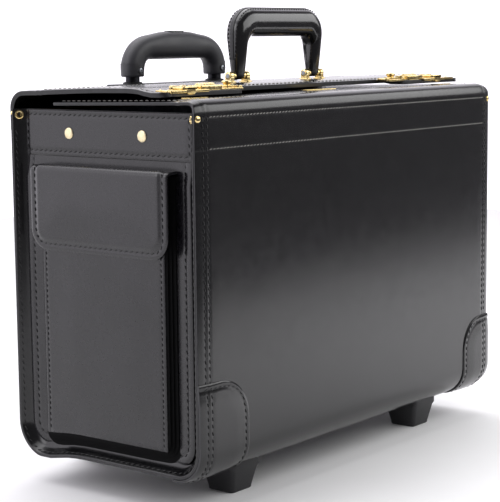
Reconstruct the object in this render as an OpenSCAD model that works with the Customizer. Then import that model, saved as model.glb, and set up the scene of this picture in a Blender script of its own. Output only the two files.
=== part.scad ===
// Rolling pilot case: a stiff leather-covered body on two feet and two wheels, closed by two
// overlapping top flaps, with a leather carry handle and a telescoping trolley handle.
// Drawn about the body's middle line, then moved so that the origin is the bottom centre of the whole.

/* [Body] */
// Length of the body
case_l = 480; // [460:5:500]
// Depth of the body, front to back
case_w = 220; // [215:1:230]
// Height of the body's walls, from its underside to their top edges
wall_h = 313; // [300:1:330]
// Height of the body's underside above the floor
ground = 28; // [26:1:30]
// Radius of the bottom edge at the front
front_r = 28; // [24:1:30]
// Radius of the bottom edge at the back
back_r = 28; // [26:1:32]
// Size of the step inside the back bottom edge, which makes room for the wheels
rear_step = 50; // [48:1:54]
// Thickness of the outer leather
leather = 3; // [2:0.5:3]
// Thickness of the stiffening boards
board = 2.5; // [2:0.5:3]
// Depth that the end panels sit behind the rims
recess = 10; // [8:1:12]
// Thickness of the turned-out gusset that lines each rim
rim_t = 5; // [4:0.5:5]

/* [Top] */
// How far the inner flap reaches past the middle line
inner_reach = 56; // [50:1:60]
// How far the outer flap's lock tabs reach past the middle line
tab_reach = 73; // [70:1:75]
// How far the outer flap's middle stretch reaches past the middle line
outer_reach = 50; // [48:1:52]
// Thickness of each flap
flap_t = 4; // [3:0.5:4]

/* [Pocket] */
// Width of the end pocket
pocket_w = 144; // [136:2:148]
// How far the pocket's flap reaches past each side of the pocket
pocket_overhang = 8.5; // [4:0.5:9]
// Height of the pocket's top edge above the floor
pocket_top = 292.5; // [288:0.5:293]
// Height of the pocket's bottom edge above the floor
pocket_bottom = 52; // [50:1:60]
// Length of the pocket's flap
pocket_flap_h = 75; // [60:1:78]

/* [Carry handle] */
// Distance between the middles of the handle's legs
handle_span = 119; // [117:1:121]
// Position of the handle from the middle line, towards the front
handle_y = 10; // [8:1:12]
// Height of the grip's middle above its pivot
grip_rise = 50.5; // [49:0.5:52]

/* [Trolley] */
// Distance between the two trolley tubes
tube_span = 127; // [124:1:128]
// Outer diameter of the inner tubes
inner_tube_d = 14; // [13:0.2:14]

/* [Wheels and feet] */
// Diameter of each wheel
wheel_d = 50; // [48:1:50]
// Width of each wheel
wheel_w = 20; // [18:1:20]
// Distance of each wheel from the middle of the case
wheel_x = 150; // [140:1:160]
// Distance of each foot from the middle of the case
foot_x = 150; // [138:1:160]

/* [Hidden] */
$fn = 64;
// A running clearance, and a gap between bodies that only pass each other
fit = 0.06;
gap = 0.3;
half_l = case_l / 2;
half_w = case_w / 2;
wall_top = ground + wall_h;
inner_x = half_l - recess - leather + 1;
flap_l = case_l - 4;
inside_x = inner_x - board;
inside_y = half_w - leather - board;
patch_t = 1.5;
// Trolley: the tubes stand just behind the back wall, under a shallow cover
tube_y = half_w + 9.5;
cover_back = half_w + 21.5;
cover_x = 82;
cover_z = [50, 352.5];
screw_x = 49.75;
screw_z = [75, 325];
bezel_z = [354.5, 358];
wall_tube = 1.2;
middle_tube_d = inner_tube_d + 2.2;
outer_tube_d = middle_tube_d + 2.2;
ring_d = 19;
collar_z = 365;
part_line_z = 378;
grip_z = 393;
grip_r = 11.8;
bend_r = 20;
button_x = 17;
// Feet and wheels
foot_y = -68;
wheel_y = 95;
wheel_z = wheel_d / 2;
axle_r = 3;
housing_w = 36;
housing_y = [70, 116];
housing_top = 78;
// Pocket
pocket_x = -(half_l - 0.5);
pocket_flap_x = -(half_l + 1.5);
pocket_flap_t = 3;
pocket_front_top = 255;
fold_t = 3;
panel_x = half_l - recess;
// Top flaps
hinge_y = 91;
hinge_z = 357.5;
front_bend = 11;
back_bend = 16;
crown = 3.5;
tab_x = [127, 237];
tab_bottom = 352.6;
pivot_z = 367;
lug_base = 361.2;
lug_x = [-12, 12];
foot_w = 15;
// Locks: for each side, the sign of x, then the plate's two ends, the hasp, dials and button
locks = [
    [-1, 128, 230, 205, 173, 143],
    [1, 104, 222, 190, 153, 119]
];
lock_z = 358;
plate_top = lock_z + 1.2;
dial_r = 4.5;
dial_w = 5.6;
dial_step = 7.4;
dial_y = 9 - tab_reach;
dial_z = plate_top + 0.8;
shift = [(pocket_flap_t + 1.5) / 2, -(cover_back - half_w - patch_t) / 2, 0];

// Puts a piece drawn about the body's middle line into the part's own frame
module place() {
    translate(shift) children();
}
// Extrudes a drawing of y and z along x
module along_x(x0, length) {
    translate([x0, 0, 0]) rotate([90, 0, 90]) linear_extrude(length) children();
}
// A box from its low corner to its high corner
module block(low, high) {
    translate(low) cube(high - low);
}
// A cylinder along x
module rod_x(x0, length, r, y, z) {
    translate([x0, y, z]) rotate([0, 90, 0]) cylinder(h = length, r = r);
}
// The case's end outline, drawn a distance inside its outer face
module outline(inset, top = wall_top) {
    w = half_w - inset;
    bottom = ground + inset;
    rf = front_r - inset;
    rb = back_r - inset;
    translate([-w, bottom + rb]) square([2 * w, top - bottom - rb]);
    translate([-w, bottom + rf]) square([2 * w - rb, rb - rf + 1]);
    translate([-w + rf, bottom]) square([2 * w - rf - rb, rb]);
    translate([-w + rf, bottom + rf]) circle(rf);
    translate([w - rb, bottom + rb]) circle(rb);
}
// The space that each wheel housing takes out of the body
module housing_room(side) {
    room = housing_w / 2 + 0.5;
    x = side * wheel_x;
    block([x - room, housing_y[0] - 0.5, 0], [x + room, half_w + 10, housing_top + 0.5]);
}

// The four screws that hold the trolley cover to the back wall
module cover_screws(r, head) {
    for (x = [-screw_x, screw_x], z = screw_z) translate([x, cover_back, z]) rotate([90, 0, 0]) {
        cylinder(h = 2, r = head);
        cylinder(h = cover_back - half_w + leather + board, r = r);
    }
}
// The rivets through the top corners of the rims: a shank, and a head on each side
module corner_rivets(r, head) {
    inside = half_w - leather - rim_t;
    for (side = [-1, 1], face = [-1, 1])
        translate([side * (half_l - 4.5), face * inside, wall_top - 4.5]) rotate([face * -90, 0, 0]) {
            cylinder(h = half_w - inside, r = r);
            if (head > 0) {
                translate([0, 0, -1]) cylinder(h = 1, r = head);
                translate([0, 0, half_w - inside]) cylinder(h = 1.2, r = head);
            }
        }
}

// ---- Body ----
module wrapper() {
    color("#1b1b1e") place() difference() {
        along_x(-half_l, case_l) difference() {
            outline(0);
            outline(leather, wall_top + 1);
        }
        for (side = [-1, 1]) housing_room(side);
        corner_rivets(1.6, 0);
        cover_screws(1.6, 1.6);
    }
}
module front_board() {
    color("#8a6f4d") place()
        block([-inside_x, -half_w + leather, ground + front_r],
              [inside_x, -half_w + leather + board, wall_top - 1]);
}
module back_board() {
    color("#8a6f4d") place() difference() {
        block([-inside_x, half_w - leather - board, ground + rear_step],
              [inside_x, half_w - leather, wall_top - 1]);
        cover_screws(1.6, 1.6);
    }
}
module bottom_board() {
    color("#8a6f4d") place()
        block([-inside_x, -half_w + front_r, ground + leather],
              [inside_x, half_w - rear_step, ground + leather + board]);
}
// A wooden rail that fills a bottom edge, from a low corner inside the outline
module edge_rail(y, size) {
    along_x(-inside_x, 2 * inside_x) intersection() {
        outline(leather);
        translate([y, ground + leather]) square(size);
    }
}
module front_rail() {
    color("#8a6f4d") place() edge_rail(-half_w + leather, front_r - leather);
}
module back_rail() {
    color("#8a6f4d") place() difference() {
        edge_rail(half_w - rear_step, rear_step - leather);
        for (side = [-1, 1]) housing_room(side);
        cover_screws(1.6, 1.6);
    }
}
module end_boards() {
    color("#8a6f4d") place() for (x = [-inner_x, inside_x]) along_x(x, board) outline(leather, wall_top - 1);
}
// The hollow's end outline: three steps, because the rails take the bottom corners
module hollow(inset) {
    top = wall_top - 5;
    y = inside_y - inset;
    low = ground + leather + board + inset;
    translate([-y, ground + rear_step + inset]) square([2 * y, top - ground - rear_step - inset]);
    translate([-y, ground + front_r + inset])
        square([y + half_w - rear_step - inset, rear_step - front_r]);
    translate([-half_w + front_r + inset, low])
        square([case_w - front_r - rear_step - 2 * inset, ground + rear_step - low]);
}
module lining() {
    sheet = 0.8;
    length = 2 * inside_x;
    color("#3a3a40") place() {
        along_x(-length / 2 + sheet, length - 2 * sheet) difference() {
            hollow(0);
            hollow(sheet);
            translate([-half_w, wall_top - 5 - 0.01]) square([case_w, 1]);
        }
        for (x = [-length / 2, length / 2 - sheet]) along_x(x, sheet) hollow(0);
    }
}
module divider() {
    color("#34343a") place()
        block([-inside_x + 1.5, 20, ground + leather + board + 1], [inside_x - 1.5, 26, wall_top - 40]);
}
module mouth_rails() {
    x = inside_x - 1;
    y = inside_y - 1;
    z = [wall_top - 16, wall_top - 4];
    bar = 2;
    color("#9a9da3") place() {
        for (side = [-1, 1]) {
            block([-x, side * (y - bar / 2) - bar / 2, z[0]], [x, side * (y - bar / 2) + bar / 2, z[1]]);
            block([side * (x - bar / 2) - bar / 2, -y + bar + 0.1, z[0]],
                  [side * (x - bar / 2) + bar / 2, y - bar - 0.1, z[1]]);
        }
    }
}
// The gussets' edges, turned out and sewn inside the wrapper's ends
module rims() {
    color("#17171a") place() difference() {
        for (x = [-half_l, panel_x]) along_x(x, recess) difference() {
            outline(leather);
            outline(leather + rim_t, wall_top + 1);
        }
        corner_rivets(1.6, 0);
    }
}
module end_panels() {
    color("#26262a") place() for (x = [-panel_x, inner_x])
        along_x(x, panel_x - inner_x) outline(leather);
}
module end_bands() {
    band_t = 1;
    y = half_w - leather - rim_t;
    color("#222226") place() for (x = [-panel_x - band_t, panel_x])
        block([x, -y, wall_top - 41], [x + band_t, y, wall_top]);
}
// Two rivets on each end band, and one through each top corner of the rims
module brass_rivets() {
    color("#c9a860") place() {
        for (side = [-1, 1], y = [-43, 43])
            translate([side * (panel_x + 1), y, wall_top - 20.5]) rotate([0, side * 90, 0]) {
                cylinder(h = 0.8, r = 5);
                cylinder(h = 1.4, r = 4);
            }
        corner_rivets(1.6, 4);
    }
}
// Leather patches sewn over the two front bottom corners
module corner_patches() {
    w = 66;
    h = 88;
    color("#1d1d20") place() for (side = [-1, 1]) {
        x = side < 0 ? -half_l : half_l - w;
        along_x(x, w) intersection() {
            difference() {
                outline(-patch_t, wall_top);
                outline(0, wall_top + 1);
            }
            translate([-half_w - patch_t, ground - patch_t]) square([40, h]);
        }
    }
}
// The bend of leather that joins the back wall to the outer flap
module hinge_strip() {
    t = 3;
    end_y = hinge_y + 0.5;
    color("#1b1b1e") place() along_x(-flap_l / 2, flap_l) {
        intersection() {
            difference() {
                translate([half_w - back_bend, wall_top + 0.5]) circle(back_bend);
                translate([half_w - back_bend, wall_top + 0.5]) circle(back_bend - t);
            }
            translate([half_w - back_bend, wall_top + 0.5]) square(back_bend);
        }
        translate([end_y, wall_top + 0.5 + back_bend - t])
            square([half_w - back_bend - end_y, t]);
    }
}

// ---- End pocket ----
module pocket_gusset() {
    t = 1.2;
    y = pocket_w / 2;
    x = [-(half_l - 2.5), -panel_x];
    z = [pocket_bottom, pocket_top - fold_t];
    color("#101012") place() {
        for (side = [-1, 1])
            block([x[0], side * (y - t / 2) - t / 2, z[0] + t], [x[1], side * (y - t / 2) + t / 2, z[1]]);
        block([x[0], -y, z[0]], [x[1], y, z[0] + t]);
    }
}
module pocket_front() {
    y = pocket_w / 2;
    color("#26262a") place()
        block([pocket_x, -y, pocket_bottom], [pocket_x + 2, y, pocket_front_top]);
}
module pocket_fold() {
    y = pocket_w / 2 + pocket_overhang;
    color("#26262a") place()
        block([-half_l - 0.5, -y, pocket_top - fold_t], [-panel_x, y, pocket_top]);
}
module pocket_flap() {
    y = pocket_w / 2 + pocket_overhang;
    r = 19;
    low = pocket_top - pocket_flap_h;
    color("#2a2a2e") place() translate([pocket_flap_x - pocket_flap_t, 0, 0]) along_x(0, pocket_flap_t) {
        translate([-y, low + r]) square([2 * y, pocket_flap_h - r]);
        translate([-y + r, low]) square([2 * (y - r), r + 1]);
        for (side = [-1, 1]) translate([side * (y - r), low + r]) circle(r);
    }
}
module snap_socket() {
    color("#c9a860") place() rod_x(pocket_x - 0.8, 0.8, 7, 0, 240);
}
module snap_stud() {
    color("#c9a860") place() rod_x(pocket_flap_x, 0.8, 7, 0, 240);
}

// ---- Feet and wheels ----
module front_feet() {
    low = 14.5;
    high = 20;
    r = 4;
    color("#1a1a1c") place() for (side = [-1, 1]) translate([side * foot_x, foot_y, 0]) difference() {
        hull() for (i = [-1, 1], j = [-1, 1], k = [[0, low], [ground - 6, high]])
            translate([i * (k[1] - r), j * (k[1] - r), k[0]])
                cylinder(h = k[0] == 0 ? 1 : 6, r = r, $fn = 32);
        translate([0, 0, -1]) cylinder(h = 14, r = 4.4);
        translate([0, 0, 0]) cylinder(h = ground + 1, r = 2.5);
    }
}
// The screws of the feet and of the trolley cover
module case_screws() {
    color("#8c8f94") place() {
        for (side = [-1, 1]) translate([side * foot_x, foot_y, 0]) {
            translate([0, 0, 10]) cylinder(h = 3, r = 4.4);
            translate([0, 0, 13]) cylinder(h = ground - 13, r = 2.5);
        }
        cover_screws(1.6, 3);
    }
}
module wheel_housings() {
    w = housing_y[1] - housing_y[0];
    h = housing_top - wheel_z;
    corner = 12;
    well = wheel_w / 2 + 1.5;
    color("#1c1c1f") place() for (side = [-1, 1]) difference() {
        along_x(side * wheel_x - housing_w / 2, housing_w) {
            translate([housing_y[0], wheel_z]) square([w - corner, h]);
            translate([housing_y[0], wheel_z]) square([w, h - corner]);
            translate([housing_y[1] - corner, housing_top - corner]) circle(corner);
            translate([wheel_y, wheel_z]) circle(13);
        }
        rod_x(side * wheel_x - well, 2 * well, wheel_d / 2 + 3, wheel_y, wheel_z);
        rod_x(side * wheel_x - housing_w, 2 * housing_w, axle_r, wheel_y, wheel_z);
    }
}
module axles() {
    color("#a9acb2") place() for (side = [-1, 1])
        rod_x(side * wheel_x - housing_w / 2 - 0.5, housing_w + 1, axle_r, wheel_y, wheel_z);
}
module wheel_hub(side) {
    color("#3a3b3f") place() difference() {
        rod_x(side * wheel_x - wheel_w / 2 - 0.5, wheel_w + 1, wheel_d / 2 - 7, wheel_y, wheel_z);
        rod_x(side * wheel_x - wheel_w, 2 * wheel_w, axle_r + fit, wheel_y, wheel_z);
    }
}
module left_wheel_hub() {
    wheel_hub(-1);
}
module right_wheel_hub() {
    wheel_hub(1);
}
module tyre(side) {
    color("#151516") place() translate([side * wheel_x, wheel_y, wheel_z]) rotate([0, 90, 0])
        rotate_extrude() difference() {
            union() {
                translate([wheel_d / 2 - 7, -wheel_w / 2]) square([4, wheel_w]);
                translate([wheel_d / 2 - 7, 3 - wheel_w / 2]) square([7, wheel_w - 6]);
                for (z = [-1, 1]) translate([wheel_d / 2 - 3, z * (wheel_w / 2 - 3)]) circle(3);
            }
        }
}
module left_tyre() {
    tyre(-1);
}
module right_tyre() {
    tyre(1);
}

// ---- Trolley ----
module trolley_cover() {
    t = 1.5;
    r = 8;
    color("#1a1a1c") place() difference() {
        linear_z(cover_z[0], cover_z[1]) {
            translate([-cover_x, half_w]) square([2 * cover_x, cover_back - half_w - r]);
            translate([-cover_x + r, half_w]) square([2 * (cover_x - r), cover_back - half_w]);
            for (side = [-1, 1]) translate([side * (cover_x - r), cover_back - r]) circle(r);
        }
        for (side = [-1, 1])
            translate([side * tube_span / 2, tube_y, cover_z[0] + t]) cylinder(h = 400, r = outer_tube_d / 2);
        for (x = [1, -45]) block([x, half_w - 1, cover_z[0] + t], [x + 44, cover_back - t, cover_z[1] + 1]);
        cover_screws(1.6, 3);
    }
}
// Extrudes a drawing of x and y between two heights
module linear_z(low, high) {
    translate([0, 0, low]) linear_extrude(high - low) children();
}
module trolley_bezel() {
    r = 6;
    x = 92;
    y = [half_w + 0.8, cover_back - 0.5];
    color("#1c1c1f") place() difference() {
        linear_z(bezel_z[0], bezel_z[1]) {
            translate([-x, y[0]]) square([2 * x, y[1] - y[0] - r]);
            translate([-x + r, y[0]]) square([2 * (x - r), y[1] - y[0]]);
            for (side = [-1, 1]) translate([side * (x - r), y[1] - r]) circle(r);
        }
        for (side = [-1, 1])
            translate([side * tube_span / 2, tube_y, 300]) cylinder(h = 100, r = outer_tube_d / 2);
    }
}
module tube_pair(low, high, d, bore) {
    for (side = [-1, 1]) translate([side * tube_span / 2, tube_y, low]) difference() {
        cylinder(h = high - low, r = d / 2);
        translate([0, 0, -1]) cylinder(h = high - low + 2, r = bore / 2);
    }
}
module outer_tubes() {
    color("#9ea1a6") place()
        tube_pair(cover_z[0] + 2, bezel_z[1], outer_tube_d, middle_tube_d + 2 * gap);
}
module middle_tubes() {
    color("#a9acb2") place()
        tube_pair(cover_z[0] + 4, bezel_z[1] + 0.5, middle_tube_d, inner_tube_d + 2 * gap);
}
module tube_rings() {
    color("#161618") place()
        tube_pair(bezel_z[1] + 0.5, bezel_z[1] + 3, ring_d, inner_tube_d + 2 * gap);
}
module inner_tubes() {
    color("#1b1b1e") place()
        tube_pair(cover_z[0] + 6, collar_z + 10, inner_tube_d, inner_tube_d - 2 * wall_tube);
}
module grip_collars() {
    color("#2b2b2f") place() for (side = [-1, 1]) translate([side * tube_span / 2, tube_y, 0]) difference() {
        translate([0, 0, collar_z]) cylinder(h = part_line_z - collar_z, r = grip_r - 0.2);
        translate([0, 0, collar_z - 1]) cylinder(h = 11, r = inner_tube_d / 2);
        translate([0, 0, collar_z - 1]) cylinder(h = 30, r = 4);
        translate([0, -grip_r - 0.2, collar_z + 6.5]) rotate([-90, 0, 0]) cylinder(h = 2, r = 3);
    }
}
module grip_screws() {
    color("#8c8f94") place() for (side = [-1, 1])
        translate([side * tube_span / 2, tube_y - grip_r - 0.2, collar_z + 6.5])
            rotate([-90, 0, 0]) cylinder(h = 2, r = 2.9);
}
module trolley_grip() {
    bar_x = tube_span / 2 - bend_r;
    bend_z = grip_z - bend_r;
    color("#2b2b2f") place() difference() {
        union() {
            rod_x(-bar_x, 2 * bar_x, grip_r, tube_y, grip_z);
            for (side = [-1, 1]) {
                translate([side * bar_x, tube_y, bend_z]) rotate([90, 0, 0])
                    rotate([0, 0, side < 0 ? 90 : 0]) rotate_extrude(angle = 90)
                        translate([bend_r, 0]) circle(grip_r);
            }
            block([-26, tube_y - 9, grip_z], [26, tube_y + 9, grip_z + grip_r + 3]);
        }
        block([-100, 0, 300], [100, 200, part_line_z + 0.2]);
        block([-64, tube_y - 4, 389.5], [64, tube_y + 4, 397]);
        block([-button_x - gap, tube_y - 6.3, 389.5], [button_x + gap, tube_y + 6.3, 440]);
        for (side = [-1, 1])
            translate([side * (tube_span / 2 - 1.5), tube_y, 360]) cylinder(h = 32, r = 4);
    }
}
module release_button() {
    color("#1a1a1c") place()
        block([-button_x, tube_y - 6, 396.4], [button_x, tube_y + 6, grip_z + grip_r + 4]);
}
module release_yoke() {
    color("#6f7277") place() {
        block([-63.6, tube_y - 3, 393.2], [63.6, tube_y + 3, 396.4]);
        for (side = [-1, 1])
            translate([side * (tube_span / 2 - 1.5), tube_y, 80]) cylinder(h = 313.2, r = 1.9);
    }
}

// ---- Top flaps ----
module inner_flap() {
    t = 3;
    bend = [-half_w + front_bend, wall_top + 0.5];
    top = bend[1] + front_bend;
    drop = 3;
    color("#1d1d20") place() along_x(-flap_l / 2, flap_l) {
        intersection() {
            difference() {
                translate(bend) circle(front_bend);
                translate(bend) circle(front_bend - t);
            }
            translate([-half_w, bend[1]]) square(front_bend);
        }
        polygon([
            [bend[0], top], [inner_reach, top - drop], [inner_reach, top - drop - t], [bend[0], top - t]
        ]);
    }
}
module name_plate() {
    color("#c9a860") place() translate([0, -60, 351.8]) rotate([-1.11, 0, 0])
        translate([-24, -4.5, 0]) cube([48, 9, 0.7]);
}
module strike_plates() {
    color("#c9a860") place() for (l = locks)
        translate([l[0] * l[3], -79.5, 352.15]) rotate([-1.11, 0, 0])
            translate([-12, -4.5, 0]) cube([24, 9, 0.8]);
}
module outer_flap() {
    mid_y = (hinge_y - tab_reach) / 2;
    chord = (hinge_y + tab_reach) / 2;
    r = (chord * chord + crown * crown) / (2 * crown);
    centre_z = hinge_z + crown - r;
    color("#1b1b1e") place() difference() {
        union() {
            along_x(-flap_l / 2, flap_l) intersection() {
                difference() {
                    translate([mid_y, centre_z]) circle(r, $fn = 200);
                    translate([mid_y, centre_z]) circle(r - flap_t, $fn = 200);
                }
                translate([-outer_reach, 340]) square([hinge_y + outer_reach - 1, 40]);
            }
            for (x = [-tab_x[1], tab_x[0]])
                block([x, -tab_reach, tab_bottom], [x + tab_x[1] - tab_x[0], -outer_reach + 2, lock_z]);
        }
        dial_slots();
    }
}
// The slots that each lock's dials turn in
module dial_slots() {
    room = dial_w / 2 + gap;
    for (l = locks, i = [-1, 0, 1]) translate([l[0] * l[4] + i * dial_step, dial_y, dial_z])
        block([-room, -dial_r - 0.5, -dial_r - gap], [room, dial_r + 0.5, dial_r]);
}
module lock_plates() {
    color("#c9a860") place() difference() {
        for (l = locks) {
            x = l[0] < 0 ? [-l[2], -l[1]] : [l[1], l[2]];
            block([x[0], -tab_reach + 1, lock_z], [x[1], -tab_reach + 17, plate_top]);
            translate([l[0] * l[4], -tab_reach, 0]) block([-14, 2, lock_z], [14, 16, plate_top + 3]);
        }
        dial_slots();
        for (l = locks) rod_x(l[0] * l[4] - 13, 26, 1, dial_y, dial_z);
    }
}
// One number wheel: side is 0 or 1, and step counts the wheels from the left
module dial(side, step) {
    l = locks[side];
    x = l[0] * l[4] + step * dial_step;
    color("#e2d3a2") place() difference() {
        rod_x(x - dial_w / 2, dial_w, dial_r, dial_y, dial_z);
        rod_x(x - dial_w, 2 * dial_w, 1 + fit, dial_y, dial_z);
    }
}
module left_dial_1() {
    dial(0, -1);
}
module left_dial_2() {
    dial(0, 0);
}
module left_dial_3() {
    dial(0, 1);
}
module right_dial_1() {
    dial(1, -1);
}
module right_dial_2() {
    dial(1, 0);
}
module right_dial_3() {
    dial(1, 1);
}
module hasp(l) {
    x = l[0] * l[3];
    color("#c9a860") place() difference() {
        union() {
            block([x - 10, -tab_reach - 3, plate_top + gap], [x + 10, -tab_reach + 13, plate_top + 3]);
            block([x - 8, -tab_reach - 3, 353.6], [x + 8, -tab_reach - 1.2, plate_top + 2]);
            rod_x(x - 10, 20, 2.4, -tab_reach + 12, plate_top + 2.7);
        }
        block([x - 5, -tab_reach + 1, plate_top + 1.2], [x + 5, -tab_reach + 8, plate_top + 6]);
    }
}
module left_hasp() {
    hasp(locks[0]);
}
module right_hasp() {
    hasp(locks[1]);
}
module latch_button(l) {
    x = l[0] * l[5];
    color("#d6bb78") place() {
        block([x - 5, -tab_reach + 4, plate_top + gap], [x + 5, -tab_reach + 14, plate_top + 2.2]);
        translate([x, -tab_reach + 9, plate_top + 2.2]) cylinder(h = 3.4, r = 4.6);
    }
}
module left_latch_button() {
    latch_button(locks[0]);
}
module right_latch_button() {
    latch_button(locks[1]);
}

// ---- Carry handle ----
module handle_lugs() {
    color("#c9a860") place() for (x0 = [-1, 1] * handle_span / 2) translate([x0, -handle_y, 0]) difference() {
        union() {
            block([-17, -5, lug_base], [17, 5, lug_base + 1.2]);
            for (x = lug_x) {
                block([x - 2.6, -4.5, lug_base + 1], [x + 2.6, 4.5, pivot_z]);
                rod_x(x - 2.6, 5.2, 4.5, 0, pivot_z);
            }
        }
        rod_x(-20, 40, 2, 0, pivot_z);
    }
}
// The handle's two pivot pins, and the shaft of each set of dials
module flap_pins() {
    color("#a9acb2") place() {
        for (side = [-1, 1]) rod_x(side * handle_span / 2 - 15.4, 30.8, 2, -handle_y, pivot_z);
        for (l = locks) rod_x(l[0] * l[4] - 13, 26, 1, dial_y, dial_z);
    }
}
module handle_feet() {
    color("#c9a860") place() for (side = [-1, 1])
        translate([side * handle_span / 2, -handle_y, pivot_z]) difference() {
            union() {
                rod_x(-foot_w / 2, foot_w, 4.2, 0, 0);
                block([-foot_w / 2, -3.5, 0], [foot_w / 2, 3.5, 7]);
            }
            rod_x(-foot_w, 2 * foot_w, 2 + fit, 0, 0);
        }
}
module carry_handle() {
    bend = 17;
    r = 12;
    bar_x = handle_span / 2 - bend;
    bar_z = pivot_z + grip_rise;
    color("#1c1c1f") place() translate([0, -handle_y, 0]) {
        rod_x(-bar_x, 2 * bar_x, r, 0, bar_z);
        for (side = [-1, 1]) {
            translate([side * bar_x, 0, bar_z - bend]) rotate([90, 0, 0])
                rotate([0, 0, side < 0 ? 90 : 0]) rotate_extrude(angle = 90)
                    translate([bend, 0]) circle(r);
            translate([side * handle_span / 2, 0, pivot_z + 7])
                cylinder(h = grip_rise - bend - 7, r1 = 7.5, r2 = r);
        }
    }
}

wrapper();
front_board();
back_board();
bottom_board();
front_rail();
back_rail();
end_boards();
lining();
divider();
mouth_rails();
rims();
end_panels();
end_bands();
brass_rivets();
corner_patches();
hinge_strip();
pocket_gusset();
pocket_front();
pocket_fold();
pocket_flap();
snap_socket();
snap_stud();
front_feet();
case_screws();
wheel_housings();
axles();
left_wheel_hub();
right_wheel_hub();
left_tyre();
right_tyre();
trolley_cover();
trolley_bezel();
outer_tubes();
middle_tubes();
tube_rings();
inner_tubes();
trolley_grip();
grip_collars();
grip_screws();
release_button();
release_yoke();
inner_flap();
name_plate();
strike_plates();
outer_flap();
lock_plates();
handle_lugs();
flap_pins();
handle_feet();
carry_handle();
left_hasp();
right_hasp();
left_latch_button();
right_latch_button();
left_dial_1();
left_dial_2();
left_dial_3();
right_dial_1();
right_dial_2();
right_dial_3();
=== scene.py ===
"""Rolling pilot case: the leather, thread, brass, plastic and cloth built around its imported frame.

Lengths are in millimetres until a mesh is made. They are measured from the middle of the leather body, with
x along its length, y from front to back and z up from the floor.
"""

import bisect
import math

import bmesh
import bpy
from bpy.props import FloatProperty, FloatVectorProperty, PointerProperty
from mathutils import Matrix, Vector


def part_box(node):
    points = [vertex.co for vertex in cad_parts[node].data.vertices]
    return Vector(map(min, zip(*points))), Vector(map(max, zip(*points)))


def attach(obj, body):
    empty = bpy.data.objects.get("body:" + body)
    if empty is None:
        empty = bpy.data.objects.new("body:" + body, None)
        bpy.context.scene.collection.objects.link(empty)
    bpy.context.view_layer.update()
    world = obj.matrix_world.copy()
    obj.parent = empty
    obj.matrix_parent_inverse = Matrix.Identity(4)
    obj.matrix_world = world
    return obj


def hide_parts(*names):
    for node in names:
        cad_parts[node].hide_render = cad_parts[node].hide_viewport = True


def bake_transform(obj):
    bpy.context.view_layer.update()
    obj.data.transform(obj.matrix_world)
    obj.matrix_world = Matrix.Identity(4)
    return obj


bl_info = {
    "name": "Rolling Pilot Case",
    "version": (1, 0, 0),
    "blender": (4, 5, 0),
    "location": "3D View > Sidebar > Case",
    "description": "Builds the finished look of a rolling leather pilot case around its frame",
    "category": "Object",
}

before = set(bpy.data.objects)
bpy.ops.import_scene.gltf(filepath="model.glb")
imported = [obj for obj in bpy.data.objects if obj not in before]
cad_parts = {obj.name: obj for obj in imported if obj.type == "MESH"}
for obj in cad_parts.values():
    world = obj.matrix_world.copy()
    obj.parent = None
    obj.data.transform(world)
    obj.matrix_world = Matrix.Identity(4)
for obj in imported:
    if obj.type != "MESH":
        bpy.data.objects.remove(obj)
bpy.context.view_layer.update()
middle = [500 * (low + high) for low, high in zip(*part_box("front_board"))]
SIDES = (-1, 1)


# ---- Measuring and drawing ----
def cad(name):
    """The low and high corners of a frame part, in this file's coordinates."""
    corners = []
    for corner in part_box(name):
        corners.append([1000 * corner[0] - middle[0], 1000 * corner[1] - body_y, 1000 * corner[2]])
    return corners


body_y = sum(500 * corner[1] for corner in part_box("wrapper"))
wall_low, wall_high = cad("wrapper")
half_l, half_w, ground, wall_top = wall_high[0], wall_high[1], wall_low[2], wall_high[2]
panel_x = cad("end_panels")[1][0]
WHEEL_X = 150  # the wheels' and feet's middles
TUBE_X, TUBE_Y = 63.5, 119  # the holes for the trolley's tubes


def metres(point):
    """A point of this file's coordinates in the frame's own; the ends' bottom edges have settled a little."""
    x, y, z = point
    sag = 5.5 * math.exp(-(((y - 76) / 24) ** 2)) * ease(abs(x), 185, 238) * (1 - ease(z, 32, 75))
    return Vector(((x + middle[0]) / 1000, (y + body_y) / 1000, (z - sag) / 1000))


def trace(*parts):
    """Joins lines (start, end) and arcs (centre, radius, from, to in degrees) into one measured path."""
    points = []
    for part in parts:
        if len(part) == 2:
            (a0, b0), (a1, b1) = part
            steps = max(1, int(math.dist(*part) / 3))
            new = [(a0 + (a1 - a0) * i / steps, b0 + (b1 - b0) * i / steps) for i in range(steps + 1)]
        else:
            (a0, b0), radius, start, stop = part
            steps = max(4, int(abs(stop - start) / 3))
            turns = [math.radians(start + (stop - start) * i / steps) for i in range(steps + 1)]
            new = [(a0 + radius * math.cos(t), b0 + radius * math.sin(t)) for t in turns]
        for point in new:
            if not points or math.dist(point, points[-1][1]) > 0.05:
                far = points[-1][0] + math.dist(point, points[-1][1]) if points else 0
                points.append((far, point))
    return points


def along(path, s):
    """The point at a length along a path, and the path's direction there."""
    i = min(max(bisect.bisect(path, (s,)), 1), len(path) - 1)
    (s0, p0), (s1, p1) = path[i - 1], path[i]
    t = (s - s0) / (s1 - s0)
    return p0[0] + (p1[0] - p0[0]) * t, p0[1] + (p1[1] - p0[1]) * t


def facing(path, s):
    """The outward direction of a path: to the right of its travel."""
    a0, b0 = along(path, s - 1)
    a1, b1 = along(path, s + 1)
    size = math.hypot(a1 - a0, b1 - b0)
    return (b1 - b0) / size, (a0 - a1) / size


def over(path):
    """A surface that follows a path of y and z, and runs along x."""

    def place(x, s, h=0.0):
        a, b = along(path, s)
        na, nb = facing(path, s)
        return Vector((x, a + na * h, b + nb * h))

    return place


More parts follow.
